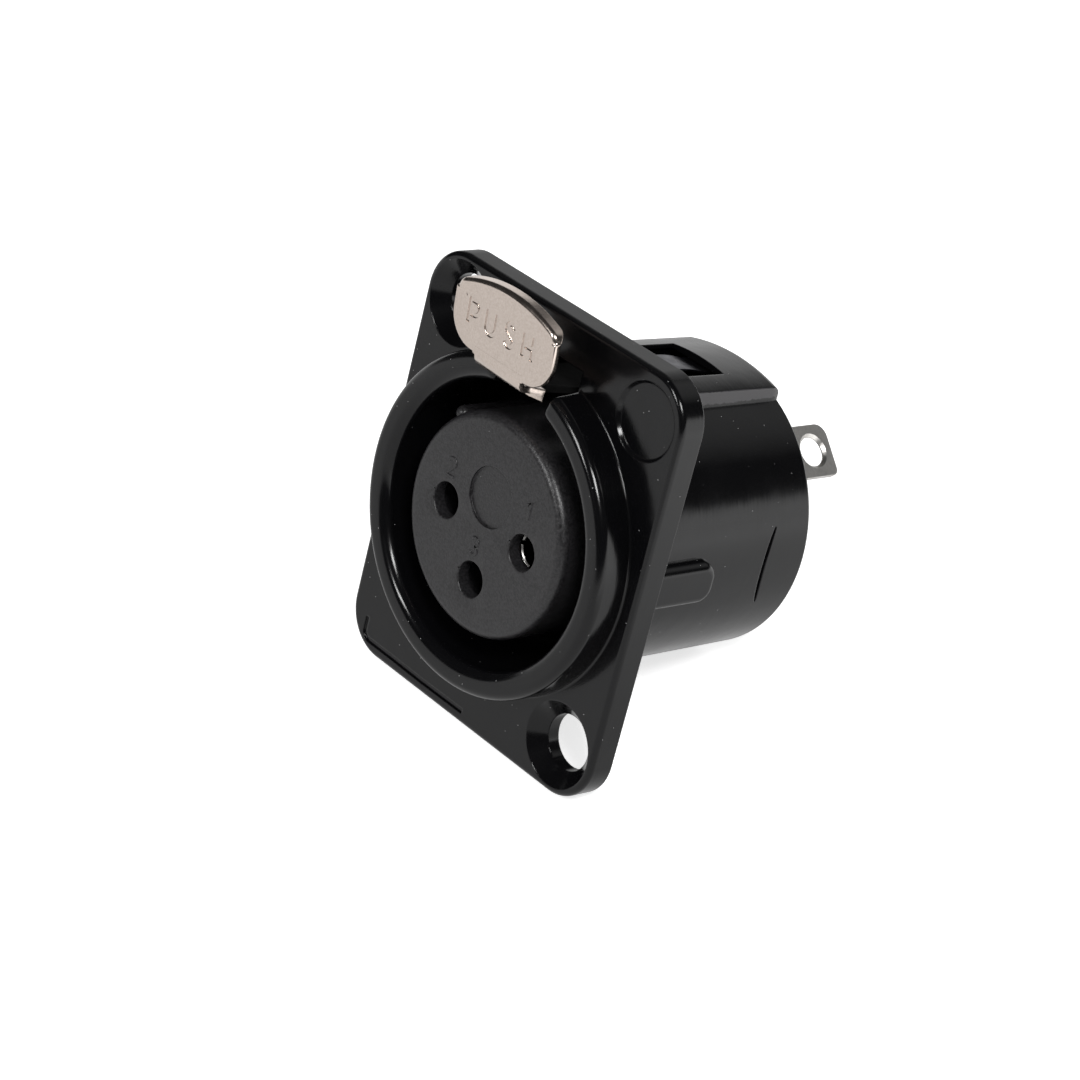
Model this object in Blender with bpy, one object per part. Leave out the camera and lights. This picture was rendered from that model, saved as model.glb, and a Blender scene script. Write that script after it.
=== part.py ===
"""Female three-pole panel socket with a push latch, modelled at real size in metres, +Z up.

The socket axis is Y and the front faces -Y. The origin is on the axis, at the flange's rear face,
which is the face that bears on the panel. X runs to the right as seen from the front.
"""
import math

import bmesh
import bpy
from mathutils import Matrix, Vector

mm = 0.001

# Flange
FLANGE_WIDTH = 26.0 * mm
FLANGE_HEIGHT = 31.0 * mm
FLANGE_THICKNESS = 2.0 * mm
FLANGE_CORNER = 3.4 * mm
FLANGE_FILLET = 0.38 * mm
HOLE_SPACING_X = 19.0 * mm
HOLE_SPACING_Z = 24.0 * mm
HOLE_RADIUS = 1.97 * mm
COUNTERSINK_RADIUS = 3.03 * mm
BLANK_RADIUS = 2.58 * mm
BLANK_DEPTH = 0.2 * mm
EDGE_MARK_WIDTH = 0.45 * mm
EDGE_MARK_DEPTH = 0.14 * mm
EDGE_MARK_INSET = 0.95 * mm
EDGE_MARK_SIDE_INSET = 1.85 * mm
EDGE_MARK_LENGTH = 11.3 * mm
EDGE_MARK_RISE = 1.55 * mm
EDGE_MARK_CORNER = 0.6 * mm

# Collar in front of the flange, and the bore for the plug's shell
COLLAR_RADIUS = 11.9 * mm
COLLAR_HEIGHT = 2.6 * mm
COLLAR_DRAFT = 0.05 * mm
COLLAR_OUTER_FILLET = 0.63 * mm
COLLAR_INNER_FILLET = 0.8 * mm
BORE_RADIUS = 9.85 * mm
BORE_DEPTH = 15.5 * mm

# Barrel behind the flange
BARREL_RADIUS = 10.45 * mm
BARREL_DRAFT = 0.12 * mm
REAR_RECESS = 1.0 * mm
BARREL_FILLET = 0.3 * mm
STOP_LIP_RADIUS = 9.0 * mm
STOP_LIP_WIDTH = 0.6 * mm
CHAMBER_RADIUS = 9.5 * mm
STAKE_ANGLE = math.radians(16.0)
STAKE_REACH = 4.1 * mm
STAKE_BOW = 0.62 * mm
STAKE_WIDTH = 0.22 * mm
STAKE_DEPTH = 0.2 * mm

# Latch housing on top of the barrel
ROOF_HALF_WIDTH = 4.4 * mm
ROOF_HEIGHT = 11.6 * mm
ROOF_DRAFT = 0.5 * mm
ROOF_CROWN = 16.0 * mm
ROOF_FILLET = 0.15 * mm
ROOF_REAR_FILLET = 0.9 * mm
ROOF_SKIN = 0.4 * mm
CHANNEL_HALF_WIDTH = 3.3 * mm
WINDOW_HALF_WIDTH = 2.6 * mm
WINDOW_LENGTH = 12.35 * mm
LATCH_SLOT_TOP = 12.6 * mm

# Locating ribs round the barrel
RIB_HALF_WIDTH = 1.5 * mm
RIB_RADIUS = 11.45 * mm
RIB_LENGTH = 7.1 * mm
LOWER_RIB_HALF_WIDTH = 1.9 * mm
LOWER_RIB_LENGTH = 13.0 * mm
RIB_CORNER = 0.7 * mm
RIB_ROOT = 0.25 * mm
RIB_FILLET = 0.5 * mm

# Contact insert
INSERT_RADIUS = 7.77 * mm
INSERT_RECESS = 0.38 * mm
INSERT_FILLET = 0.65 * mm
INSERT_FLANGE_LENGTH = 2.4 * mm
ENTRY_RADIUS = 1.26 * mm
ENTRY_CHAMFER = 0.1 * mm
ENTRY_DEPTH = 1.0 * mm
CONTACT_CIRCLE = 4.03 * mm
DIMPLE_RADIUS = 2.15 * mm
DIMPLE_HEIGHT = 2.15 * mm
DIMPLE_DEPTH = 0.2 * mm
KEY_ANGLE = math.radians(135.0)
KEY_RADIUS = 0.55 * mm
KEY_PROUD = 0.73 * mm
KEY_SETBACK = 0.8 * mm

# Rear insulating disc
DISC_THICKNESS = 1.5 * mm
DISC_FILLET = 0.3 * mm

# Contacts
SLEEVE_RADIUS = 1.5 * mm
SLEEVE_BORE = 1.2 * mm
SLEEVE_LENGTH = 11.5 * mm
SLEEVE_BOTTOM = 1.5 * mm
SLEEVE_LEAD_IN = 0.1 * mm
SLEEVE_SLIT = 0.34 * mm
SLIT_LENGTH = 6.5 * mm
SHANK_RADIUS = 1.3 * mm
SEAT_RADIUS = 2.3 * mm
SEAT_LENGTH = 1.0 * mm
FIRST_CONTACT_LEAD = 1.6 * mm
CONTACT_RECESS = 1.8 * mm

# Solder tags
TAG_WIDTH = 2.6 * mm
TAG_THICKNESS = 0.5 * mm
TAG_END = 21.4 * mm
TAG_CORNER = 0.5 * mm
TAG_HOLE_RADIUS = 0.85 * mm
TAG_HOLE_INSET = 1.85 * mm
GROUND_ANGLE = math.radians(44.3)
GROUND_WIDTH = 3.85 * mm
GROUND_END = 21.1 * mm
GROUND_UPPER_CORNER = 1.0 * mm
GROUND_HOLE_RADIUS = 1.1 * mm
GROUND_FOOT_LENGTH = 1.1 * mm
GROUND_FOOT_WIDTH = 2.4 * mm
GROUND_SETBACK = 0.65 * mm

# Latch
PLATE_FRONT = 6.55 * mm
PLATE_LEAN = 0.09
PLATE_HALF_WIDTH = 5.05 * mm
PLATE_BOTTOM = 11.85 * mm
PLATE_HEIGHT = 5.4 * mm
PLATE_TOP_ARC = 12.0 * mm
PLATE_LOWER_CORNER = 2.3 * mm
PLATE_UPPER_CORNER = 1.0 * mm
PLATE_OVERLAP = 0.4 * mm
SHEET_THICKNESS = 0.5 * mm
SHEET_EDGE = 0.08 * mm
LIP_REACH = 0.4 * mm
LIP_HEIGHT = 1.0 * mm
LIP_DROP = 1.95 * mm
LIP_RUN = 0.4 * mm
ARM_HALF_WIDTH = 2.55 * mm
ARM_INNER_HALF_WIDTH = 1.95 * mm
ARM_SIDE_HEIGHT = 0.72 * mm
ARM_SIDE_FRONT = 5.4 * mm
ARM_STEP = 4.15 * mm
ARM_STEP_RUN = 0.08 * mm
ARM_LEG = 0.03 * mm
ARM_KNEE_DROP = 0.1345 * mm
ARM_REAR_SLOPE = 0.05
ARM_KNEE = 1.0 * mm
ARM_BEND = 0.65 * mm
NOSE_HALF_WIDTH = 1.6 * mm
NOSE_LENGTH = 2.5 * mm
NOSE_CENTRE = 5.0 * mm
NOSE_TIP_HEIGHT = 8.85 * mm
NOSE_TIP_LENGTH = 0.45 * mm
NOSE_REAR_RUN = 0.35 * mm
BEAD_PROUD = 0.02 * mm
PIVOT_SETBACK = 0.65 * mm
PIVOT_DROP = 1.0955 * mm

# Leaf spring over the latch arm
SPRING_HALF_WIDTH = 1.2 * mm
SPRING_THICKNESS = 0.18 * mm
SPRING_TIP = 6.4 * mm
SPRING_BOW = 0.4 * mm
SPRING_LANDING = 0.4 * mm

# Gap between pieces that seat on each other
SEAT_GAP = 0.15 * mm
FINE_GAP = 0.1 * mm

# How far a cutter reaches past the face that it opens
CUT_MARGIN = 1.0 * mm

WELD = 0.002 * mm
ROUND_SEGMENTS = 80
SMALL_SEGMENTS = 28
FILLET_STEPS = 4

FLANGE_FRONT = -FLANGE_THICKNESS
COLLAR_FRONT = FLANGE_FRONT - COLLAR_HEIGHT
STOP_FRONT = COLLAR_FRONT + BORE_DEPTH
STOP_REAR = STOP_FRONT + STOP_LIP_WIDTH
INSERT_FRONT = COLLAR_FRONT + INSERT_RECESS
INSERT_SEAT = STOP_REAR + SEAT_GAP
INSERT_REAR = INSERT_SEAT + INSERT_FLANGE_LENGTH
DISC_FRONT = INSERT_REAR + SEAT_GAP
DISC_REAR = DISC_FRONT + DISC_THICKNESS
BARREL_REAR = DISC_REAR + REAR_RECESS
FLANGED_RADIUS = CHAMBER_RADIUS - SEAT_GAP
CHANNEL_REAR = DISC_FRONT
CHANNEL_TOP = ROOF_HEIGHT - ROOF_DRAFT - ROOF_SKIN
PIVOT_DEPTH = INSERT_REAR - PIVOT_SETBACK
PLATE_TOP = PLATE_BOTTOM + PLATE_HEIGHT
LIP_LOWEST = PLATE_TOP - LIP_DROP
ARM_FRONT_HEIGHT = PLATE_BOTTOM - ARM_BEND - ARM_LEG
ARM_KNEE_HEIGHT = CHANNEL_TOP - ARM_KNEE_DROP
PIVOT_HEIGHT = ARM_KNEE_HEIGHT - ARM_REAR_SLOPE * (PIVOT_DEPTH + ARM_KNEE) - PIVOT_DROP
CAVITY_RADIUS = SLEEVE_RADIUS + 2 * FINE_GAP
GROUND_RADIUS = CHAMBER_RADIUS - GROUND_SETBACK


def make_material(name, colour, roughness, metallic):
    """A plain Principled material."""
    material = bpy.data.materials.new(name)
    material.use_nodes = True
    shader = material.node_tree.nodes["Principled BSDF"]
    shader.inputs["Base Color"].default_value = (*colour, 1.0)
    shader.inputs["Roughness"].default_value = roughness
    shader.inputs["Metallic"].default_value = metallic
    return material


def mesh_object(name, mesh_data, material=None):
    """Wraps a finished bmesh in a linked object."""
    bmesh.ops.recalc_face_normals(mesh_data, faces=mesh_data.faces)
    mesh = bpy.data.meshes.new(name)
    mesh_data.to_mesh(mesh)
    mesh_data.free()
    solid = bpy.data.objects.new(name, mesh)
    bpy.context.scene.collection.objects.link(solid)
    if material:
        mesh.materials.append(material)
    return solid


def revolve(name, profile, segments=ROUND_SEGMENTS):
    """Turns a chain of (radius, y) points about the Y axis. The chain starts and ends on the axis."""
    shape = bmesh.new()
    points = [shape.verts.new((radius, y, 0.0)) for radius, y in profile]
    edges = [shape.edges.new(pair) for pair in zip(points, points[1:])]
    bmesh.ops.spin(shape, geom=points + edges, cent=(0, 0, 0), axis=(0, 1, 0),
                   angle=math.tau, steps=segments, use_merge=True)
    bmesh.ops.remove_doubles(shape, verts=shape.verts, dist=0.001 * mm)
    return mesh_object(name, shape)


def loft(name, loops):
    """A closed solid through loops that have the same number of points, capped at both ends."""
    shape = bmesh.new()
    rings = [[shape.verts.new(point) for point in loop] for loop in loops]
    for ring, following in zip(rings, rings[1:]):
        for index in range(len(ring)):
            after = (index + 1) % len(ring)
            shape.faces.new((ring[index], ring[after], following[after], following[index]))
    shape.faces.new(reversed(rings[0]))
    shape.faces.new(rings[-1])
    return mesh_object(name, shape)


def block(name, low, high):
    """A box between two corners."""
    shape = bmesh.new()
    bmesh.ops.create_cube(shape, size=1.0)
    low, high = Vector(low), Vector(high)
    for vertex in shape.verts:
        vertex.co = Vector(
            high[axis] if vertex.co[axis] > 0 else low[axis] for axis in range(3))
    return mesh_object(name, shape)


def boolean(target, tool, operation):
    """Fuses or cuts target with tool, which is used up."""
    modifier = target.modifiers.new(operation.lower(), "BOOLEAN")
    modifier.operation = operation
    modifier.solver = "EXACT"
    modifier.object = tool
    evaluated = target.evaluated_get(bpy.context.evaluated_depsgraph_get())
    result = bpy.data.meshes.new_from_object(evaluated)
    target.modifiers.clear()
    tidy = bmesh.new()
    tidy.from_mesh(result)
    bmesh.ops.remove_doubles(tidy, verts=tidy.verts, dist=WELD)
    bmesh.ops.dissolve_degenerate(tidy, edges=tidy.edges, dist=WELD)
    tidy.to_mesh(result)
    tidy.free()
    spent = target.data
    target.data = result
    bpy.data.meshes.remove(spent)
    bpy.data.objects.remove(tool)


def fuse(target, *tools):
    for tool in tools:
        boolean(target, tool, "UNION")


def cut(target, *tools):
    for tool in tools:
        boolean(target, tool, "DIFFERENCE")


def finish(solid, name, material, smooth_angle=30.0):
    """Names a piece, gives it its material and shades its round faces smooth."""
    solid.name = name
    solid.data.name = name
    solid.data.materials.clear()
    solid.data.materials.append(material)
    solid.data.shade_smooth()
    solid.data.set_sharp_from_angle(angle=math.radians(smooth_angle))
    return solid


def transform(solid, matrix):
    """Moves a solid's mesh and leaves its origin where it is."""
    solid.data.transform(matrix)
    return solid


def arc(centre, radius, start, end, steps):
    """Points on an arc in a plane, as pairs."""
    return [(centre[0] + radius * math.cos(start + (end - start) * step / steps),
             centre[1] + radius * math.sin(start + (end - start) * step / steps))
            for step in range(steps + 1)]


def rounded_rectangle(half_width, half_height, corner, steps=8):
    """The outline of a rectangle with round corners, anticlockwise from the right side."""
    outline = []
    for quarter, (side, rise) in enumerate(((1, 1), (-1, 1), (-1, -1), (1, -1))):
        centre = (side * (half_width - corner), rise * (half_height - corner))
        start = quarter * math.pi / 2
        outline += arc(centre, corner, start, start + math.pi / 2, steps)
    return outline


def filleted_block(name, half_width, half_height, corner, depth, fillet):
    """A plate in the XZ plane from y = 0 to y = -depth, with a fillet round its front edge."""
    loops = []
    for inset, y in [(0.0, 0.0)] + [
            (fillet * (1 - math.cos(angle)), -depth + fillet * (1 - math.sin(angle)))
            for angle in (step * math.pi / 2 / FILLET_STEPS for step in range(FILLET_STEPS + 1))]:
        outline = rounded_rectangle(half_width - inset, half_height - inset, corner - inset)
        loops.append([(x, y, z) for x, z in outline])
    return loft(name, loops)


def turned_profile_of_outside():
    """The collar and barrel as one turned outside, from the front centre to the rear centre."""
    rim_radius = COLLAR_RADIUS - COLLAR_DRAFT
    rim_centre = (rim_radius - COLLAR_OUTER_FILLET, COLLAR_FRONT + COLLAR_OUTER_FILLET)
    inside_flange = FLANGE_FRONT / 2
    profile = [(0.0, COLLAR_FRONT)]
    profile += arc(rim_centre, COLLAR_OUTER_FILLET, -math.pi / 2, 0.0, 6)
    profile += [(COLLAR_RADIUS, FLANGE_FRONT), (COLLAR_RADIUS, inside_flange),
                (BARREL_RADIUS + BARREL_DRAFT, inside_flange), (BARREL_RADIUS + BARREL_DRAFT, 0.0)]
    profile += arc((BARREL_RADIUS - BARREL_FILLET, BARREL_REAR - BARREL_FILLET),
                   BARREL_FILLET, 0.0, math.pi / 2, 3)
    profile += [(0.0, BARREL_REAR)]
    return profile


def turned_profile_of_inside():
    """The bore with its rounded mouth, the stop lip and the rear chamber."""
    mouth_centre = (BORE_RADIUS + COLLAR_INNER_FILLET, COLLAR_FRONT + COLLAR_INNER_FILLET)
    profile = [(0.0, COLLAR_FRONT - CUT_MARGIN), (mouth_centre[0], COLLAR_FRONT - CUT_MARGIN)]
    profile += arc(mouth_centre, COLLAR_INNER_FILLET, -math.pi / 2, -math.pi, 4)
    profile += [(BORE_RADIUS, STOP_FRONT), (STOP_LIP_RADIUS, STOP_FRONT),
                (STOP_LIP_RADIUS, STOP_REAR), (CHAMBER_RADIUS, STOP_REAR),
                (CHAMBER_RADIUS, BARREL_REAR + CUT_MARGIN), (0.0, BARREL_REAR + CUT_MARGIN)]
    return profile


def roof_outline(top, side):
    """The latch housing's section: upright sides, tight shoulders and a flatly crowned top."""
    crown_centre = top - ROOF_CROWN
    shoulder_x = side - ROOF_FILLET
    shoulder_z = crown_centre + math.sqrt((ROOF_CROWN - ROOF_FILLET) ** 2 - shoulder_x ** 2)
    lean = math.atan2(shoulder_z - crown_centre, shoulder_x)
    foot = BORE_RADIUS * 0.8
    right = [(side, foot)] + arc((shoulder_x, shoulder_z), ROOF_FILLET, 0.0, lean, 3)
    crown = arc((0.0, crown_centre), ROOF_CROWN, lean, math.pi - lean, 8)[1:-1]
    left = [(-x, z) for x, z in reversed(right)]
    return right + crown + left


def make_roof():
    """The latch housing: it falls a little to the rear, where its top edge is well rounded."""
    stations = [(FLANGE_FRONT / 2, 0.0), (BARREL_REAR - ROOF_REAR_FILLET, 0.0)]
    for step in range(1, 7):
        turn = step * math.pi / 12
        stations.append((BARREL_REAR - ROOF_REAR_FILLET * (1 - math.sin(turn)), 1 - math.cos(turn)))
    loops = []
    for y, rounding in stations:
        top = ROOF_HEIGHT - ROOF_DRAFT * max(y, 0.0) / BARREL_REAR - ROOF_REAR_FILLET * rounding
        side = ROOF_HALF_WIDTH - BARREL_FILLET * rounding
        loops.append([(x, y, z) for x, z in roof_outline(top, side)])
    return loft("roof", loops)


def make_rib(direction, half_width, length):
    """A locating rib along the barrel, standing out at an angle about the Y axis."""
    start = FLANGE_FRONT / 2
    root = BORE_RADIUS + RIB_ROOT
    rib = filleted_block("rib", half_width, (length - start) / 2, RIB_CORNER,
                         RIB_RADIUS - root, RIB_FILLET)
    middle = (length + start) / 2
    upright = Matrix.Rotation(-math.pi / 2, 4, "X")
    placed = Matrix.Rotation(math.pi / 2 - direction, 4, "Y") @ Matrix.Translation((0, middle, root))
    return transform(rib, placed @ upright)


def make_screw_hole(x, z):
    """A through hole with a ninety-degree countersink in the front face."""
    cone = COUNTERSINK_RADIUS - HOLE_RADIUS
    beyond = CUT_MARGIN / 2
    hole = revolve("hole", [(0.0, FLANGE_FRONT - beyond),
                            (COUNTERSINK_RADIUS + beyond, FLANGE_FRONT - beyond),
                            (HOLE_RADIUS, FLANGE_FRONT + cone), (HOLE_RADIUS, beyond),
                            (0.0, beyond)], 40)
    return transform(hole, Matrix.Translation((x, 0, z)))


def make_blank(x, z):
    """The shallow round recess where the flange has no third hole."""
    recess = revolve("recess", [(0.0, FLANGE_FRONT - BLANK_DEPTH),
                                (BLANK_RADIUS, FLANGE_FRONT - BLANK_DEPTH),
                                (BLANK_RADIUS, FLANGE_FRONT + BLANK_DEPTH),
                                (0.0, FLANGE_FRONT + BLANK_DEPTH)], 40)
    return transform(recess, Matrix.Translation((x, 0, z)))


def make_edge_mark():
    """The shallow groove along the flange's lower left edge, which turns up near the corner."""
    left = -FLANGE_WIDTH / 2 + EDGE_MARK_SIDE_INSET
    low = -FLANGE_HEIGHT / 2 + EDGE_MARK_INSET
    path = [(left, low + EDGE_MARK_RISE)]
    path += arc((left + EDGE_MARK_CORNER, low + EDGE_MARK_CORNER), EDGE_MARK_CORNER,
                math.pi, 1.5 * math.pi, 6)
    path.append((left + EDGE_MARK_LENGTH, low))
    loops = []
    for index, (x, z) in enumerate(path):
        before = Vector(path[max(index - 1, 0)])
        after = Vector(path[min(index + 1, len(path) - 1)])
        along = (after - before).normalized()
        across = Vector((-along.y, along.x)) * EDGE_MARK_WIDTH / 2
        loops.append([(x + across.x, FLANGE_FRONT + EDGE_MARK_DEPTH, z + across.y),
                      (x - across.x, FLANGE_FRONT + EDGE_MARK_DEPTH, z - across.y),
                      (x - across.x, FLANGE_FRONT - EDGE_MARK_DEPTH, z - across.y),
                      (x + across.x, FLANGE_FRONT - EDGE_MARK_DEPTH, z + across.y)])
    return loft("edge_mark", loops)


def make_stake_mark(side):
    """The bowed line on the barrel's side where its wall is pressed in on the insert."""
    steps = 12
    loops = []
    for step in range(steps + 1):
        turn = -STAKE_ANGLE + 2 * STAKE_ANGLE * step / steps
        bow = STAKE_BOW * (turn / STAKE_ANGLE) ** 2
        y = BARREL_REAR - STAKE_REACH + bow
        loop = []
        for radius, shift in ((BARREL_RADIUS - STAKE_DEPTH, -1), (BARREL_RADIUS - STAKE_DEPTH, 1),
                              (RIB_RADIUS, 1), (RIB_RADIUS, -1)):
            loop.append((side * radius * math.cos(turn), y + shift * STAKE_WIDTH / 2,
                         radius * math.sin(turn)))
        loops.append(loop)
    return loft("stake_mark", loops)


def make_housing(material):
    """The die-cast housing: flange, collar, barrel, latch housing and ribs in one piece."""
    flange = filleted_block("flange", FLANGE_WIDTH / 2, FLANGE_HEIGHT / 2, FLANGE_CORNER,
                            FLANGE_THICKNESS, FLANGE_FILLET)
    housing = revolve("outside", turned_profile_of_outside())
    fuse(housing, flange, make_roof(),
         make_rib(0.0, RIB_HALF_WIDTH, RIB_LENGTH),
         make_rib(math.pi, RIB_HALF_WIDTH, RIB_LENGTH),
         make_rib(-math.pi / 2, LOWER_RIB_HALF_WIDTH, LOWER_RIB_LENGTH))
    cut(housing, revolve("inside", turned_profile_of_inside()))
    low = BORE_RADIUS * 0.7
    cut(housing,
        block("latch_gap", (-CHANNEL_HALF_WIDTH, COLLAR_FRONT - CUT_MARGIN, low),
              (CHANNEL_HALF_WIDTH, 0.0, LATCH_SLOT_TOP)),
        block("channel", (-CHANNEL_HALF_WIDTH, -CUT_MARGIN, low),
              (CHANNEL_HALF_WIDTH, CHANNEL_REAR, CHANNEL_TOP)),
        block("window", (-WINDOW_HALF_WIDTH, -FLANGE_THICKNESS / 4, low),
              (WINDOW_HALF_WIDTH, WINDOW_LENGTH, LATCH_SLOT_TOP)))
    half_x, half_z = HOLE_SPACING_X / 2, HOLE_SPACING_Z / 2
    cut(housing, make_screw_hole(-half_x, half_z), make_screw_hole(half_x, -half_z),
        make_blank(half_x, half_z), make_edge_mark(),
        make_stake_mark(1), make_stake_mark(-1))
    return finish(housing, "housing", material)


def contact_places():
    """Each contact's number, its place across the axis and how far it stands ahead of the others."""
    return ((1, (CONTACT_CIRCLE, 0.0), FIRST_CONTACT_LEAD),
            (2, (-CONTACT_CIRCLE, 0.0), 0.0),
            (3, (0.0, -CONTACT_CIRCLE), 0.0))


def ground_frame():
    """Turns a strip that lies above the axis to the ground contact's place."""
    return Matrix.Rotation(math.pi / 2 - GROUND_ANGLE, 4, "Y")


def make_ground_slot(name, front, rear):
    """The cut that leaves room for the ground contact at the edge of the insert or disc."""
    low = GROUND_RADIUS - TAG_THICKNESS / 2 - FINE_GAP
    half = GROUND_WIDTH / 2 + SEAT_GAP
    slot = block(name, (-half, front, low), (half, rear, CHAMBER_RADIUS + CUT_MARGIN))
    return transform(slot, ground_frame())


def make_insert(material):
    """The moulded contact insert."""
    profile = [(0.0, INSERT_FRONT)]
    profile += arc((INSERT_RADIUS - INSERT_FILLET, INSERT_FRONT + INSERT_FILLET), INSERT_FILLET,
                   -math.pi / 2, 0.0, 5)
    profile += [(INSERT_RADIUS, INSERT_SEAT), (FLANGED_RADIUS, INSERT_SEAT),
                (FLANGED_RADIUS, INSERT_REAR), (0.0, INSERT_REAR)]
    insert = revolve("insert", profile)

    key_centre = INSERT_RADIUS + KEY_PROUD - KEY_RADIUS
    key = revolve("key", [(0.0, 0.0)] + arc((0.0, KEY_RADIUS), KEY_RADIUS, -math.pi / 2, 0.0, 4)
                  + [(KEY_RADIUS, INSERT_SEAT - INSERT_FRONT - KEY_SETBACK + SEAT_GAP),
                     (0.0, INSERT_SEAT - INSERT_FRONT - KEY_SETBACK + SEAT_GAP)], 16)
    transform(key, Matrix.Translation((key_centre * math.cos(KEY_ANGLE), INSERT_FRONT + KEY_SETBACK,
                                       key_centre * math.sin(KEY_ANGLE))))
    fuse(insert, key)

    seat_radius = SEAT_RADIUS + FINE_GAP
    seat_front = INSERT_REAR - SEAT_LENGTH - SEAT_GAP
    for _, (x, z), _ in contact_places():
        cavity = revolve("cavity", [
            (0.0, INSERT_FRONT - CUT_MARGIN),
            (ENTRY_RADIUS + ENTRY_CHAMFER + CUT_MARGIN, INSERT_FRONT - CUT_MARGIN),
            (ENTRY_RADIUS, INSERT_FRONT + ENTRY_CHAMFER), (ENTRY_RADIUS, INSERT_FRONT + ENTRY_DEPTH),
            (CAVITY_RADIUS, INSERT_FRONT + ENTRY_DEPTH), (CAVITY_RADIUS, seat_front),
            (seat_radius, seat_front), (seat_radius, INSERT_REAR + CUT_MARGIN),
            (0.0, INSERT_REAR + CUT_MARGIN)], SMALL_SEGMENTS)
        cut(insert, transform(cavity, Matrix.Translation((x, 0, z))))

    tail_room = SHEET_THICKNESS / 2 + 3 * SEAT_GAP
    cut(insert, block("pivot_notch",
                      (-ARM_INNER_HALF_WIDTH - SEAT_GAP, PIVOT_DEPTH - tail_room,
                       PIVOT_HEIGHT - SHEET_THICKNESS / 2 - SEAT_GAP),
                      (ARM_INNER_HALF_WIDTH + SEAT_GAP, INSERT_REAR + CUT_MARGIN,
                       CHAMBER_RADIUS + CUT_MARGIN)))
    under_arm = arm_height(INSERT_REAR) - SHEET_THICKNESS / 2 - FINE_GAP
    cut(insert, block("arm_way",
                      (-ARM_INNER_HALF_WIDTH - SEAT_GAP, INSERT_SEAT - CUT_MARGIN, under_arm),
                      (ARM_INNER_HALF_WIDTH + SEAT_GAP, INSERT_REAR + CUT_MARGIN,
                       CHAMBER_RADIUS + CUT_MARGIN)))
    cut(insert, make_ground_slot("slot", INSERT_SEAT - CUT_MARGIN, INSERT_REAR + CUT_MARGIN))
    foot_top = GROUND_RADIUS
    foot_low = foot_top - GROUND_FOOT_LENGTH - TAG_THICKNESS / 2 - SEAT_GAP
    foot_half = GROUND_FOOT_WIDTH / 2 + SEAT_GAP
    pocket = block("pocket", (-foot_half, INSERT_REAR - TAG_THICKNESS - SEAT_GAP, foot_low),
                   (foot_half, INSERT_REAR + CUT_MARGIN, foot_top))
    cut(insert, transform(pocket, ground_frame()))

    dimple = revolve("dimple", [(0.0, INSERT_FRONT - CUT_MARGIN),
                                (DIMPLE_RADIUS, INSERT_FRONT - CUT_MARGIN),
                                (DIMPLE_RADIUS, INSERT_FRONT + DIMPLE_DEPTH),
                                (0.0, INSERT_FRONT + DIMPLE_DEPTH)], 40)
    cut(insert, transform(dimple, Matrix.Translation((0, 0, DIMPLE_HEIGHT))))
    return finish(insert, "contact_insert", material)


def tag_turn(x, z):
    """Stands a tag across the line from the axis to its contact."""
    return Matrix.Rotation(math.pi / 2 - math.atan2(z, x), 4, "Y")


def make_disc(material):
    """The insulating disc that closes the insert's rear and holds the contacts in."""
    disc = revolve("disc", [(0.0, DISC_FRONT), (FLANGED_RADIUS, DISC_FRONT)]
                   + arc((FLANGED_RADIUS - DISC_FILLET, DISC_REAR - DISC_FILLET), DISC_FILLET,
                         0.0, math.pi / 2, 3) + [(0.0, DISC_REAR)])
    for _, (x, z), _ in contact_places():
        half = TAG_WIDTH / 2 + SEAT_GAP
        depth = TAG_THICKNESS / 2 + FINE_GAP
        slot = block("tag_slot", (-half, DISC_FRONT - CUT_MARGIN, -depth),
                     (half, DISC_REAR + CUT_MARGIN, depth))
        cut(disc, transform(slot, Matrix.Translation((x, 0, z)) @ tag_turn(x, z)))
    cut(disc, make_ground_slot("slot", DISC_FRONT - CUT_MARGIN, DISC_REAR + CUT_MARGIN))
    return finish(disc, "rear_disc", material)


def make_tag(name, width, start, end, hole_radius, left_corner=TAG_CORNER):
    """A flat tag in the XY plane with round end corners and a wire hole."""
    half = width / 2
    outline = [(half, start)]
    outline += arc((half - TAG_CORNER, end - TAG_CORNER), TAG_CORNER, 0.0, math.pi / 2, 4)
    outline += arc((left_corner - half, end - left_corner), left_corner, math.pi / 2, math.pi, 5)
    outline.append((-half, start))
    tag = loft(name, [[(x, y, -TAG_THICKNESS / 2) for x, y in outline],
                      [(x, y, TAG_THICKNESS / 2) for x, y in outline]])
    drill = revolve("drill", [(0.0, -TAG_THICKNESS), (hole_radius, -TAG_THICKNESS),
                              (hole_radius, TAG_THICKNESS), (0.0, TAG_THICKNESS)], SMALL_SEGMENTS)
    upright = Matrix.Rotation(math.pi / 2, 4, "X")
    cut(tag, transform(drill, Matrix.Translation((0, end - TAG_HOLE_INSET, 0)) @ upright))
    return tag


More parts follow.
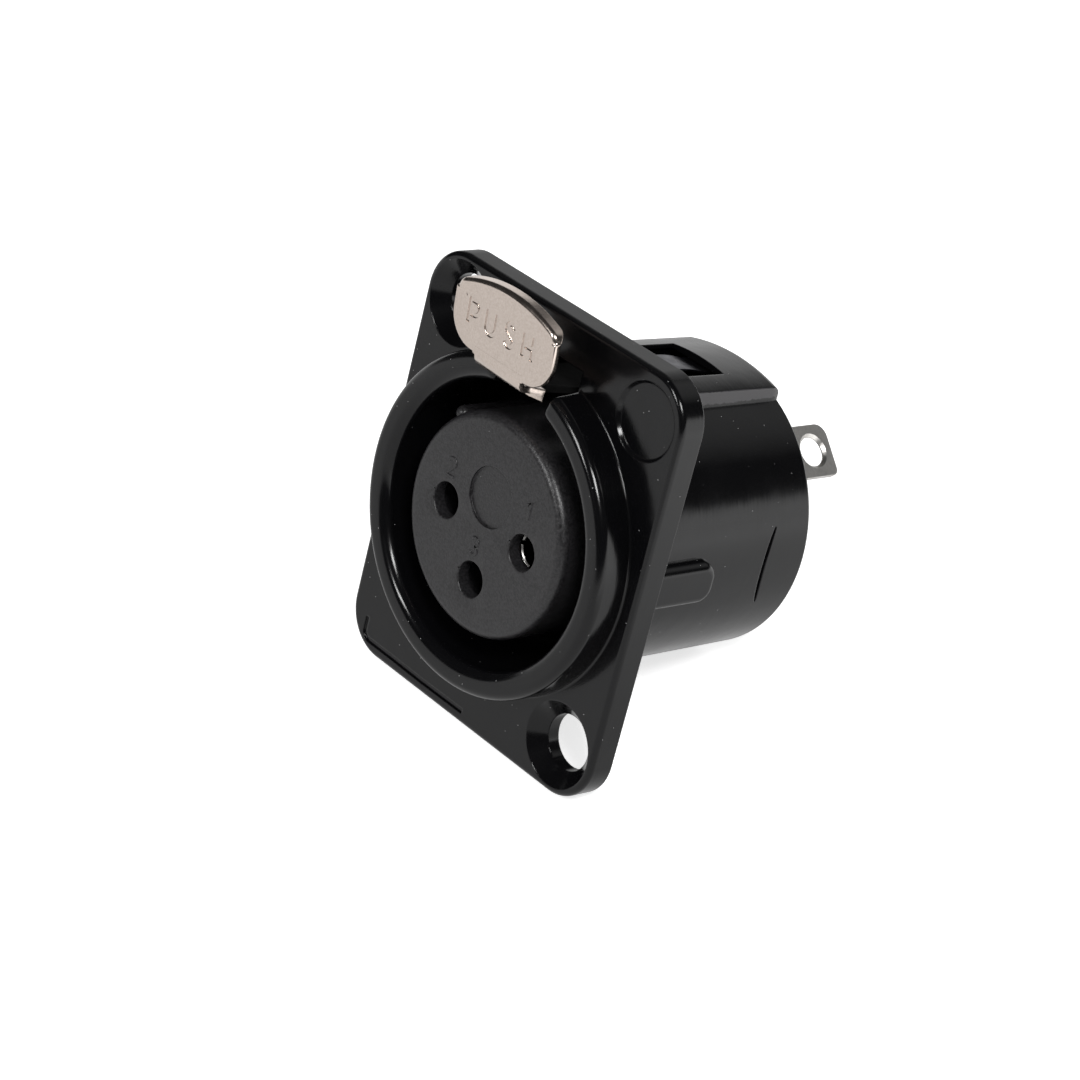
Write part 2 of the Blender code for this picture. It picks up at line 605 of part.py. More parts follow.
def make_contact(number, place, lead, material):
    """A turned and slit socket contact with a flat solder tag."""
    x, z = place
    front = INSERT_FRONT + CONTACT_RECESS + ENTRY_DEPTH - lead
    sleeve_end = front + SLEEVE_LENGTH
    seat_rear = INSERT_REAR
    seat_front = seat_rear - SEAT_LENGTH
    contact = revolve("contact", [
        (0.0, sleeve_end - SLEEVE_BOTTOM), (SLEEVE_BORE, sleeve_end - SLEEVE_BOTTOM),
        (SLEEVE_BORE, front + SLEEVE_LEAD_IN), (SLEEVE_BORE + SLEEVE_LEAD_IN, front),
        (SLEEVE_RADIUS - SLEEVE_LEAD_IN, front), (SLEEVE_RADIUS, front + SLEEVE_LEAD_IN),
        (SLEEVE_RADIUS, sleeve_end), (SHANK_RADIUS, sleeve_end), (SHANK_RADIUS, seat_front),
        (SEAT_RADIUS, seat_front), (SEAT_RADIUS, seat_rear), (0.0, seat_rear)], SMALL_SEGMENTS)
    half_slit = SLEEVE_SLIT / 2
    across = SLEEVE_RADIUS + CUT_MARGIN
    cut(contact,
        block("slit", (-half_slit, front - CUT_MARGIN, -across), (half_slit, front + SLIT_LENGTH, across)),
        block("slit", (-across, front - CUT_MARGIN, -half_slit), (across, front + SLIT_LENGTH, half_slit)))
    tag = make_tag("tag", TAG_WIDTH, seat_rear - SEAT_LENGTH / 2, TAG_END, TAG_HOLE_RADIUS)
    fuse(contact, transform(tag, tag_turn(x, z)))
    transform(contact, Matrix.Translation((x, 0, z)))
    return finish(contact, f"contact_{number}", material)


def make_ground_contact(material):
    """The shell's ground contact: a flat strip along the barrel wall, with a foot and a solder tag."""
    strip = make_tag("strip", GROUND_WIDTH, INSERT_SEAT, GROUND_END, GROUND_HOLE_RADIUS,
                     GROUND_UPPER_CORNER)
    half = GROUND_FOOT_WIDTH / 2
    rear = INSERT_REAR - SEAT_GAP / 2
    foot = block("foot", (-half, rear - TAG_THICKNESS, -TAG_THICKNESS / 2 - GROUND_FOOT_LENGTH),
                 (half, rear, 0.0))
    fuse(strip, foot)
    transform(strip, ground_frame() @ Matrix.Translation((0, 0, GROUND_RADIUS)))
    return finish(strip, "ground_contact", material)


def plate_outline():
    """The push plate's outline seen from the front, anticlockwise from the right of its lower edge."""
    corner = PLATE_LOWER_CORNER
    lower = arc((PLATE_HALF_WIDTH - corner, PLATE_BOTTOM + corner), corner,
                -math.pi / 2, 0.0, 8)
    side = [(PLATE_HALF_WIDTH, LIP_LOWEST)]
    upper = PLATE_UPPER_CORNER
    arc_centre = PLATE_TOP - PLATE_TOP_ARC
    shoulder_x = PLATE_HALF_WIDTH - upper
    shoulder_z = arc_centre + math.sqrt((PLATE_TOP_ARC - upper) ** 2 - shoulder_x ** 2)
    lean = math.atan2(shoulder_z - arc_centre, shoulder_x)
    shoulder = arc((shoulder_x, shoulder_z), upper, 0.0, lean, 5)
    crown = arc((0.0, arc_centre), PLATE_TOP_ARC, lean, math.pi / 2, 8)[1:]
    right = lower + side + shoulder + crown
    return right + [(-x, z) for x, z in reversed(right[:-1])]


def lip_share(z):
    """How far the lip is formed at a height: none below its end, all a little above it."""
    return min(max((z - LIP_LOWEST) / LIP_RUN, 0.0), 1.0)


def make_plate():
    """The push plate: it leans forward, and its upper edge is folded forward into a finger lip."""
    outline = plate_outline()
    count = len(outline)
    edge = SHEET_EDGE
    thick = SHEET_THICKNESS
    flat_to_lip = (
        ((LIP_HEIGHT, 0.0), (LIP_HEIGHT, 0.0)),
        ((0.6 * LIP_HEIGHT, 0.0), (1.2 * thick, 0.2 * LIP_REACH)),
        ((0.4 * LIP_HEIGHT, 0.0), (0.9 * thick, 0.8 * LIP_REACH)),
        ((edge, 0.0), (0.7 * thick, LIP_REACH)),
        ((0.0, -edge), (0.2 * thick, LIP_REACH)),
        ((0.0, -2 * edge), (0.0, 0.6 * LIP_REACH)),
        ((0.0, edge - thick), (0.0, -0.2 * thick)),
        ((edge, -thick), (0.3 * thick, -0.8 * thick)),
        ((0.6 * LIP_HEIGHT, -thick), (0.9 * thick, -thick)),
        ((LIP_HEIGHT, -thick), (LIP_HEIGHT, -thick)))
    loops = [[] for _ in flat_to_lip]
    for index, (x, z) in enumerate(outline):
        before = Vector(outline[index - 1])
        after = Vector(outline[(index + 1) % count])
        along = (after - before).normalized()
        inward = Vector((-along.y, along.x))
        share = lip_share(z)
        for loop, (flat, lip) in zip(loops, flat_to_lip):
            offset = flat[0] + (lip[0] - flat[0]) * share
            forward = flat[1] + (lip[1] - flat[1]) * share
            height = z + inward.y * offset
            leaned = PLATE_FRONT + PLATE_LEAN * (height - PLATE_BOTTOM)
            loop.append((x + inward.x * offset, -leaned - forward, height))
    return loft("plate", loops)


def arm_height(y):
    """Height of the arm's middle line, which falls to the knee and then gently to the pivot."""
    front = -PLATE_FRONT + SHEET_THICKNESS / 2 + ARM_BEND
    before_knee = max(-ARM_KNEE - y, 0.0) / (-ARM_KNEE - front)
    behind_knee = max(y + ARM_KNEE, 0.0)
    rise = ARM_FRONT_HEIGHT - ARM_KNEE_HEIGHT
    return ARM_KNEE_HEIGHT + rise * before_knee - ARM_REAR_SLOPE * behind_knee


def arm_stations():
    """The arm's middle line from the plate to its pivot: y, height, half width and side height."""
    half = SHEET_THICKNESS / 2
    down_y = -PLATE_FRONT + half
    wide, narrow = ARM_HALF_WIDTH, ARM_INNER_HALF_WIDTH
    side = ARM_SIDE_HEIGHT - SHEET_THICKNESS
    stations = [(down_y, PLATE_BOTTOM + PLATE_OVERLAP, wide, 0.0)]
    front = (down_y + ARM_BEND, ARM_FRONT_HEIGHT + ARM_BEND)
    stations += [(y, z, wide, 0.0) for y, z in arc(front, ARM_BEND, math.pi, 1.5 * math.pi, 6)]
    for y, width, depth in ((-ARM_SIDE_FRONT, wide, 0.0), (-ARM_SIDE_FRONT + ARM_STEP_RUN, wide, side),
                            (-ARM_STEP, wide, side), (-ARM_STEP + ARM_STEP_RUN, narrow, 0.0),
                            (-ARM_KNEE, narrow, 0.0)):
        stations.append((y, arm_height(y), width, depth))
    tail = (PIVOT_DEPTH - ARM_BEND, arm_height(PIVOT_DEPTH) - ARM_BEND)
    stations += [(y, z, narrow, 0.0) for y, z in arc(tail, ARM_BEND, math.pi / 2, 0.0, 5)]
    stations.append((PIVOT_DEPTH, PIVOT_HEIGHT, narrow, 0.0))
    return stations


def make_arm():
    """The folded arm: wide with turned-down sides in front, narrow where it enters the housing."""
    stations = arm_stations()
    half = SHEET_THICKNESS / 2
    last = len(stations) - 1
    loops = []
    for index, (y, z, width, side) in enumerate(stations):
        before, after = stations[max(index - 1, 0)], stations[min(index + 1, last)]
        along = Vector((after[0] - before[0], after[1] - before[1])).normalized()
        over = Vector((-along.y, along.x))
        inner = width - SHEET_THICKNESS
        point = Vector((y, z))
        top, bottom = point + over * half, point - over * half
        skirt = point - over * (half + side)
        loops.append([(width, *top), (-width, *top), (-width, *skirt), (-inner, *skirt),
                      (-inner, *bottom), (inner, *bottom), (inner, *skirt), (width, *skirt)])
    return loft("arm", loops)


def make_nose():
    """The locking nose under the arm: a long ramp to the front and a steep face behind."""
    start = NOSE_CENTRE - NOSE_LENGTH / 2
    end = NOSE_CENTRE + NOSE_LENGTH / 2
    root = arm_height(NOSE_CENTRE)
    tip_end = end - NOSE_REAR_RUN
    outline = [(start, root), (start, root - SHEET_THICKNESS / 2 - FINE_GAP),
               (tip_end - NOSE_TIP_LENGTH, NOSE_TIP_HEIGHT), (tip_end, NOSE_TIP_HEIGHT),
               (end, root - SHEET_THICKNESS / 2), (end, root)]
    return loft("nose", [[(-NOSE_HALF_WIDTH, y, z) for y, z in outline],
                         [(NOSE_HALF_WIDTH, y, z) for y, z in outline]])


def make_pivot_bead():
    """The round end on which the latch turns in the insert's notch."""
    radius = SHEET_THICKNESS / 2 + BEAD_PROUD
    half = ARM_INNER_HALF_WIDTH
    bead = revolve("bead", [(0.0, -half), (radius, -half), (radius, half), (0.0, half)], 24)
    across = Matrix.Rotation(math.pi / 2, 4, "Z")
    return transform(bead, Matrix.Translation((0, PIVOT_DEPTH, PIVOT_HEIGHT)) @ across)


def make_latch(material):
    """The latch lever: push plate, arm, locking nose and pivot end in one folded piece."""
    latch = make_plate()
    fuse(latch, make_arm(), make_nose(), make_pivot_bead())
    return finish(latch, "latch_lever", material)


def make_spring(material):
    """The leaf spring: held at its rear under the roof, with its free end resting on the arm."""
    rear_height = CHANNEL_TOP - FINE_GAP - SPRING_THICKNESS / 2
    tip_height = arm_height(SPRING_TIP) + SHEET_THICKNESS / 2 + FINE_GAP + SPRING_THICKNESS / 2
    rear = CHANNEL_REAR - SEAT_GAP
    clamp = WINDOW_LENGTH - SPRING_LANDING
    path = [Vector((rear, rear_height)), Vector((clamp, rear_height))]
    steps = 8
    for step in range(1, steps + 1):
        share = step / steps
        bow = SPRING_BOW * math.sin(math.pi * share) * (1 - 0.3 * share)
        path.append(Vector((clamp + (SPRING_TIP - clamp) * share,
                            rear_height + (tip_height - rear_height) * share + bow)))
    loops = []
    for index, point in enumerate(path):
        before, after = path[max(index - 1, 0)], path[min(index + 1, len(path) - 1)]
        along = (after - before).normalized()
        over = Vector((along.y, -along.x)) * SPRING_THICKNESS / 2
        upper, lower = point + over, point - over
        loops.append([(SPRING_HALF_WIDTH, *upper), (-SPRING_HALF_WIDTH, *upper),
                      (-SPRING_HALF_WIDTH, *lower), (SPRING_HALF_WIDTH, *lower)])
    return finish(loft("spring", loops), "latch_spring", material)


def main():
    for old in list(bpy.data.objects):
        bpy.data.objects.remove(old)
    black_paint = make_material("gloss_black_paint", (0.012, 0.012, 0.013), 0.22, 0.0)
    black_plastic = make_material("matte_black_plastic", (0.03, 0.03, 0.032), 0.62, 0.0)
    nickel = make_material("nickel_plate", (0.72, 0.68, 0.62), 0.22, 1.0)
    tin = make_material("tin_plate", (0.68, 0.67, 0.64), 0.4, 1.0)
    spring_steel = make_material("blued_spring_steel", (0.05, 0.05, 0.06), 0.35, 1.0)

    make_housing(black_paint)
    make_insert(black_plastic)
    make_disc(black_plastic)
    for number, place, lead in contact_places():
        make_contact(number, place, lead, tin)
    make_ground_contact(tin)
    make_spring(spring_steel)

    pivot = bpy.data.objects.new("latch_pivot", None)
    pivot.location = (0, PIVOT_DEPTH, PIVOT_HEIGHT)
    bpy.context.scene.collection.objects.link(pivot)
    latch = make_latch(nickel)
    transform(latch, Matrix.Translation((0, -PIVOT_DEPTH, -PIVOT_HEIGHT)))
    latch.parent = pivot


main()
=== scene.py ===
import math

import bmesh
import bpy
from mathutils import Matrix, Vector


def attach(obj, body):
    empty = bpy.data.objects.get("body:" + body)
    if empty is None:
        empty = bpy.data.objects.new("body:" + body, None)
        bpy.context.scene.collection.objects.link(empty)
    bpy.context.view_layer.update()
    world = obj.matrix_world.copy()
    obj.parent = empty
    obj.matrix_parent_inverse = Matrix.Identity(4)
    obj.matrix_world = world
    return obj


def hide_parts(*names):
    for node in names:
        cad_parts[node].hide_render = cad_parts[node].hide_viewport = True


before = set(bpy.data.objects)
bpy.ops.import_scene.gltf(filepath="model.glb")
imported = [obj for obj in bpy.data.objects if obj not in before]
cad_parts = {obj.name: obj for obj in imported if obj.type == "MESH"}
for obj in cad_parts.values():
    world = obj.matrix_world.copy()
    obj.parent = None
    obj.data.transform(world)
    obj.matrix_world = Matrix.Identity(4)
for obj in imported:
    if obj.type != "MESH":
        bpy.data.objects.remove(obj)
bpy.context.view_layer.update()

mm = 0.001

# Driving dimensions in millimetres. Y is the socket's axis and its front is at negative Y.

FLANGE_HALF_WIDTH = 13.0
FLANGE_HALF_HEIGHT = 15.5
FLANGE_CORNER = 3.4
FLANGE_FRONT = -2.0
COLLAR_FRONT = -4.6
BARREL_RADIUS = 10.45
BARREL_REAR = 16.7
ROOF_HALF_WIDTH = 4.4
ROOF_TOP = 11.6
INTO_FLANGE = 0.95
BORE = 9.85
SCREW_PLACES = ((-9.5, 12.0), (9.5, -12.0))
BLANK_PLACE = (9.65, 12.0)
INSERT_FRONT = -4.22
INSERT_RADIUS = 7.77
INSERT_FLANGE_RADIUS = 9.35
INSERT_FLANGE_FRONT = 11.65
INSERT_REAR = 14.05
DISC_FRONT = 14.2
DISC_REAR = 15.7
CONTACT_CIRCLE = 4.03
CONTACT_PLACES = {1: (CONTACT_CIRCLE, 0.0), 2: (-CONTACT_CIRCLE, 0.0), 3: (0.0, -CONTACT_CIRCLE)}
NUMERAL_PLACES = {1: (3.83, 2.96), 2: (-4.2, 2.4), 3: (-0.35, -1.7)}
TAG_END = 21.4
GROUND_TAG_END = 21.1
GROUND_DIRECTION = math.radians(45.7)
GROUND_RADIUS = 8.85
PLATE_HALF_WIDTH = 5.05
PLATE_FRONT = -6.55
PLATE_BOTTOM = 11.85
PLATE_TOP = 17.25
PLATE_LEAN = 0.09
EDGE_BEND = 0.36
SHEET = 0.5
ARM_HALF_WIDTH = 1.95
# Where the painted shade on the latch arm begins.
ARM_PAINTED_SHADE_FROM = -4.34
FLARE_START = (-5.3, 2.36)
FLARE_END = (-4.42, 2.75)
PIVOT = (13.4, 8.75)
FLOOR_TILT = math.radians(17.24)
ROUND_STEPS = 256
HOLE_STEPS = 96


# Shape tools. Sizes are in millimetres until a mesh is stored, which scales it to metres.

def store(name, shape):
    """Makes an object of a mesh built in millimetres."""
    bmesh.ops.recalc_face_normals(shape, faces=shape.faces)
    mesh = bpy.data.meshes.new(name)
    bmesh.ops.scale(shape, vec=(mm, mm, mm), verts=shape.verts)
    shape.to_mesh(mesh)
    shape.free()
    piece = bpy.data.objects.new(name, mesh)
    bpy.context.scene.collection.objects.link(piece)
    return piece


def loft(name, loops, closed=False):
    """A solid through loops of equally many points, capped at its ends or closed on itself."""
    shape = bmesh.new()
    rings = [[shape.verts.new(point) for point in loop] for loop in loops]
    pairs = list(zip(rings, rings[1:]))
    if closed:
        pairs.append((rings[-1], rings[0]))
    for ring, following in pairs:
        for index in range(len(ring)):
            after = (index + 1) % len(ring)
            shape.faces.new((ring[index], ring[after], following[after], following[index]))
    if not closed:
        shape.faces.new(reversed(rings[0]))
        shape.faces.new(rings[-1])
    return store(name, shape)


def revolve(name, profile, segments=ROUND_STEPS):
    """Turns (radius, y) points about the Y axis. The chain starts and ends on the axis."""
    shape = bmesh.new()
    points = [shape.verts.new((radius, y, 0.0)) for radius, y in profile]
    edges = [shape.edges.new(pair) for pair in zip(points, points[1:])]
    bmesh.ops.spin(shape, geom=points + edges, cent=(0, 0, 0), axis=(0, 1, 0),
                   angle=math.tau, steps=segments, use_merge=True)
    bmesh.ops.remove_doubles(shape, verts=shape.verts, dist=0.0005)
    return store(name, shape)


def block(name, low, high):
    """A box between two corners."""
    shape = bmesh.new()
    bmesh.ops.create_cube(shape, size=1.0)
    for vertex in shape.verts:
        vertex.co = Vector(high[i] if vertex.co[i] > 0 else low[i] for i in range(3))
    return store(name, shape)


def place(piece, matrix):
    """Moves a piece's mesh, with the matrix's shift in millimetres."""
    scaled = matrix.copy()
    scaled.translation = matrix.translation * mm
    piece.data.transform(scaled)
    return piece


def combine(target, tool, operation):
    """Adds a tool's solid to a target or takes it away, and removes the tool."""
    modifier = target.modifiers.new("combine", "BOOLEAN")
    modifier.operation = operation
    modifier.solver = "MANIFOLD"
    modifier.object = tool
    evaluated = target.evaluated_get(bpy.context.evaluated_depsgraph_get())
    result = bpy.data.meshes.new_from_object(evaluated)
    target.modifiers.clear()
    target.data = result
    bpy.data.objects.remove(tool)


def fuse(target, *tools):
    for tool in tools:
        combine(target, tool, "UNION")


def cut(target, *tools):
    for tool in tools:
        combine(target, tool, "DIFFERENCE")


def shade(piece, angle=28.0):
    """Rounds the shading of curved faces and keeps flat faces flat."""
    piece.data.shade_smooth()
    piece.data.set_sharp_from_angle(angle=math.radians(angle))
    weighted = piece.modifiers.new("flat_faces", "WEIGHTED_NORMAL")
    weighted.mode = "FACE_AREA"
    weighted.weight = 100
    weighted.keep_sharp = True


def merge_flat(piece, angle=0.2):
    """Welds slivers left by cuts and merges triangles that lie in one plane."""
    shape = bmesh.new()
    shape.from_mesh(piece.data)
    bmesh.ops.remove_doubles(shape, verts=shape.verts, dist=0.001 * mm)
    bmesh.ops.dissolve_degenerate(shape, edges=shape.edges, dist=0.005 * mm)
    bmesh.ops.dissolve_limit(shape, angle_limit=math.radians(angle), verts=shape.verts,
                             edges=shape.edges, delimit={"MATERIAL"})
    shape.to_mesh(piece.data)
    shape.free()


def dress(piece, material, body, slot, *nodes):
    """Gives a piece its material and body, and hides the solids that it stands for. The slot is not used.
    """
    piece.data.materials.clear()
    piece.data.materials.append(material)
    shade(piece)
    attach(piece, body)
    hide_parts(*nodes)
    return piece


def arc(centre, radius, start, end, steps):
    """Points on a circle from a start angle to an end angle."""
    return [(centre[0] + radius * math.cos(start + (end - start) * i / steps),
             centre[1] + radius * math.sin(start + (end - start) * i / steps))
            for i in range(steps + 1)]


def rounded_rectangle(half_width, half_height, corner, steps=16):
    """A rectangle's outline with round corners, anticlockwise from its right side."""
    outline = []
    for quarter, (side, rise) in enumerate(((1, 1), (-1, 1), (-1, -1), (1, -1))):
        centre = (side * (half_width - corner), rise * (half_height - corner))
        start = quarter * math.pi / 2
        outline += arc(centre, corner, start, start + math.pi / 2, steps)
    return outline


def pillow(name, half_width, half_height, corner, depth, front, rear=0.0):
    """A plate in the XZ plane from y = 0 to y = -depth with rounded front and rear edges."""
    steps = 8
    angles = [math.pi / 2 * i / steps for i in range(steps + 1)]
    layers = [(0.0, 0.0)]
    if rear:
        layers = [(rear * (1 - math.cos(a)), -rear * (1 - math.sin(a))) for a in reversed(angles)]
    layers += [(front * (1 - math.cos(a)), -depth + front * (1 - math.sin(a))) for a in angles]
    return loft(name, [[(x, y, z) for x, z in
                        rounded_rectangle(half_width - inset, half_height - inset, corner - inset)]
                       for inset, y in layers])


def stroke(name, path, width, y, depth, proud=0.2, taper=0.75):
    """A square-section line along a path in the XZ plane, from y - proud into the depth."""
    loops = []
    for i, (x, z) in enumerate(path):
        before = Vector(path[max(i - 1, 0)])
        after = Vector(path[min(i + 1, len(path) - 1)])
        along = (after - before).normalized()
        across = Vector((-along.y, along.x)) * width / 2
        inner = across * taper
        loops.append([(x + inner.x, y + depth, z + inner.y), (x - inner.x, y + depth, z - inner.y),
                      (x - across.x, y - proud, z - across.y), (x + across.x, y - proud, z + across.y)])
    return loft(name, loops)


# Housing

def outside_profile():
    """The barrel's outside as (radius, y), which tapers to the rear and is rounded at both ends."""
    edge, base, taper, sunk = 0.3, 0.2, 0.12, 0.02
    root = BARREL_RADIUS + taper + base
    profile = [(0.0, FLANGE_FRONT / 2), (root, FLANGE_FRONT / 2), (root, -sunk)]
    profile += arc((root, base), base, -math.pi / 2, -math.pi, 5)
    profile += arc((BARREL_RADIUS - edge, BARREL_REAR - edge), edge, 0.0, math.pi / 2, 7)
    profile.append((0.0, BARREL_REAR))
    return profile


def bore_profile():
    """The bore as (radius, y): the plug's room, a ledge, and the room for the insert and disc."""
    before, behind = FLANGE_FRONT - 3.0, BARREL_REAR + 1.0
    ledge_radius, ledge_front, ledge_rear = 9.0, 10.9, 11.5
    rear_radius, chamfer, beyond = 9.5, 0.18, 0.05
    mouth = rear_radius + chamfer
    return [(0.0, before), (BORE, before), (BORE, ledge_front), (ledge_radius, ledge_front),
            (ledge_radius, ledge_rear), (rear_radius, ledge_rear), (rear_radius, BARREL_REAR - chamfer),
            (mouth, BARREL_REAR + beyond), (mouth, behind), (0.0, behind)]


def collar_section(inset):
    """The collar's cross-section as (radius, y), drawn in by an inset at its rounded ends."""
    rim, edge, foot, mouth, sunk, clear = 11.85, 0.63, 0.15, 0.8, 0.3, 0.004
    section = [(BORE + clear, FLANGE_FRONT + sunk)]
    section += arc((BORE + mouth, COLLAR_FRONT + mouth), mouth - clear, math.pi, 1.5 * math.pi, 8)
    section += arc((rim - edge, COLLAR_FRONT + edge), edge, -math.pi / 2, 0.0, 12)
    section += arc((rim + foot, FLANGE_FRONT - foot), foot, math.pi, math.pi / 2, 6)
    section += [(rim + foot, FLANGE_FRONT + sunk)]
    middle, full_inset, backward, base = 10.8, 1.1, 0.9, 0.5
    shrunk = []
    for radius, y in section:
        height = max(0.0, min(1.0, FLANGE_FRONT - y))
        inward = (middle - radius) * min(1.0, inset / full_inset) * height
        back = inset * height * backward if y < FLANGE_FRONT - base else 0.0
        shrunk.append((radius + inward, y + back))
    return shrunk


def make_collar():
    """The collar as an open ring whose two ends beside the latch are rounded."""
    right_gap, left_gap = math.radians(17.2), math.radians(11.8)
    round_end, middle_radius = 0.45, 10.7
    end_steps, ring_steps = 6, 200
    angles = [math.pi / 2 * i / end_steps for i in range(end_steps + 1)]
    end = [(round_end * (1 - math.cos(a)) / middle_radius, round_end * (1 - math.sin(a))) for a in angles]
    start = right_gap + end[-1][0]
    span = math.tau - left_gap - end[-1][0] - start
    first = [(right_gap + angle, inset) for angle, inset in end]
    middle = [(start + span * i / ring_steps, 0.0) for i in range(1, ring_steps)]
    last = [(math.tau - left_gap - angle, inset) for angle, inset in reversed(end)]
    loops = []
    for angle, inset in first + middle + last:
        loops.append([(radius * math.sin(angle), y, radius * math.cos(angle))
                      for radius, y in collar_section(inset)])
    return loft("collar", loops)


def roof_outline(top, side):
    """The latch housing's cross-section: upright sides and a top crowned by a large radius."""
    crown, fillet, foot, straight = 16.0, 0.15, 7.0, 9.0
    centre = top - crown
    shoulder = side - fillet
    height = centre + math.sqrt((crown - fillet) ** 2 - shoulder ** 2)
    lean = math.atan2(height - centre, shoulder)
    right = [(side, foot), (side, straight)] + arc((shoulder, height), fillet, 0.0, lean, 6)
    over = arc((0.0, centre), crown, lean, math.pi - lean, 24)[1:-1]
    return right + over + [(-x, z) for x, z in reversed(right)]


def make_roof():
    """The latch housing, which falls a little to its well-rounded rear edge."""
    top_edge, side_edge, fall, steps = 0.9, 0.3, 0.5, 12
    stations = [(-INTO_FLANGE, 0.0), (0.0, 0.0)]
    stations += [(BARREL_REAR - top_edge * (1 - math.sin(a)), 1 - math.cos(a))
                 for a in (math.pi / 2 * i / steps for i in range(steps + 1))]
    loops = []
    for y, rounding in stations:
        top = ROOF_TOP - fall * max(y, 0.0) / BARREL_REAR - top_edge * rounding
        side = ROOF_HALF_WIDTH - side_edge * rounding
        loops.append([(x, y, z) for x, z in roof_outline(top, side)])
    return loft("roof", loops)


def make_rib(direction, half_width, length):
    """A rounded rib along the barrel, at an angle from the right side, that centres it in its hole."""
    root, crest, corner, edge = 9.95, 11.45, 1.2, 0.6
    rib = pillow("rib", half_width, (length + INTO_FLANGE) / 2, min(half_width, corner), crest - root, edge)
    upright = Matrix.Rotation(-math.pi / 2, 4, "X")
    turned = Matrix.Rotation(math.pi / 2 - direction, 4, "Y")
    return place(rib, turned @ Matrix.Translation((0, (length - INTO_FLANGE) / 2, root)) @ upright)


def make_screw_hole(x, z):
    """The cutter for a countersunk hole through the flange."""
    wide, narrow, beyond = 3.03, 1.97, 0.5
    hole = revolve("hole", [(0.0, FLANGE_FRONT - beyond), (wide + beyond, FLANGE_FRONT - beyond),
                            (narrow, FLANGE_FRONT + wide - narrow), (narrow, beyond), (0.0, beyond)],
                   HOLE_STEPS)
    return place(hole, Matrix.Translation((x, 0, z)))


def make_blank(x, z):
    """The cutter for the shallow round step where the flange has no third hole."""
    proud, depth = 0.3, 0.26
    outer, edge, inner = 2.85, 2.66, 2.46
    step = revolve("step", [(0.0, FLANGE_FRONT - proud), (outer, FLANGE_FRONT - proud),
                            (edge, FLANGE_FRONT), (inner, FLANGE_FRONT + depth),
                            (0.0, FLANGE_FRONT + depth)], HOLE_STEPS)
    return place(step, Matrix.Translation((x, 0, z)))


def edge_path():
    """The groove along the flange's lower left edge, as (x, z)."""
    left, low, corner, rise, end = -11.15, -14.55, 0.6, 1.55, 0.15
    path = [(left, low + rise)]
    path += arc((left + corner, low + corner), corner, math.pi, 1.5 * math.pi, 10)
    return path + [(-8.0, low), (-4.5, low - 0.04), (end, low)]


def make_stake_mark(side):
    """The cutter for the bent mark of a stake, which tapers to its ends, on a side of the barrel."""
    steps, reach, setback, bow = 24, math.radians(16.0), 4.1, 0.62
    deepest, rise, beyond = 10.22, 0.14, 11.4
    loops = []
    for i in range(steps + 1):
        share = -1 + 2 * i / steps
        turn = reach * share
        y = BARREL_REAR - setback + bow * share ** 2
        half = 0.2 * (1 - 0.5 * share ** 4)
        deep = deepest + rise * share ** 4
        loops.append([(side * radius * math.cos(turn), y + shift * half, radius * math.sin(turn))
                      for radius, shift in ((deep, -0.6), (deep, 0.6), (beyond, 1.6), (beyond, -1.6))])
    return loft("stake", loops)


def make_housing():
    """The casting: barrel, flange, latch housing, ribs and collar, and what is cut into them."""
    housing = revolve("housing_shell", outside_profile())
    flange = pillow("flange", FLANGE_HALF_WIDTH, FLANGE_HALF_HEIGHT, FLANGE_CORNER, -FLANGE_FRONT,
                    front=0.38, rear=0.05)
    side_rib, lower_rib = (1.5, 7.1), (1.9, 13.0)
    fuse(housing, flange, make_roof(), make_rib(0.0, *side_rib), make_rib(math.pi, *side_rib),
         make_rib(-math.pi / 2, *lower_rib))
    cut(housing, revolve("bore", bore_profile()))
    channel, window = 3.3, 2.6
    low, ceiling, above = 6.8, 10.7, 12.6
    channel_rear, window_rear = 14.2, 12.35
    cut(housing, block("slot", (-channel, FLANGE_FRONT - 1.0, low), (channel, 0.0, above)),
        block("channel", (-channel, -0.6, low), (channel, channel_rear, ceiling)),
        block("window", (-window, -0.5, low), (window, window_rear, above)))
    fuse(housing, make_collar())
    groove_width, groove_depth = 0.45, 0.14
    cut(housing, *(make_screw_hole(x, z) for x, z in SCREW_PLACES), make_blank(*BLANK_PLACE),
        stroke("edge_line", edge_path(), groove_width, FLANGE_FRONT, groove_depth),
        make_stake_mark(1), make_stake_mark(-1))
    return housing


# Contact insert

def numeral_paths(number):
    """The strokes of a contact's number, as (x, z) about its middle."""
    half = 0.62
    if number == 1:
        return [[(-0.28, 0.34), (0.02, half), (0.02, -half)]]
    if number == 2:
        top = arc((0.0, 0.28), 0.34, math.radians(165), math.radians(-35), 10)
        return [top + [(-0.36, -half), (0.4, -half)]]
    upper = arc((-0.02, 0.3), 0.31, math.radians(150), math.radians(-70), 9)
    lower = arc((-0.02, -0.28), 0.35, math.radians(70), math.radians(-150), 9)
    return [upper + lower]


def make_key():
    """The round key rib along the insert's upper left."""
    length, radius, direction, reach, setback = 14.8, 0.55, math.radians(135), 7.95, 0.8
    profile = [(0.0, 0.0)] + arc((0.0, radius), radius, -math.pi / 2, 0.0, 8)
    profile += [(radius, length), (0.0, length)]
    shift = (reach * math.cos(direction), INSERT_FRONT + setback, reach * math.sin(direction))
    return place(revolve("key", profile, 32), Matrix.Translation(shift))


ENTRY = 1.25


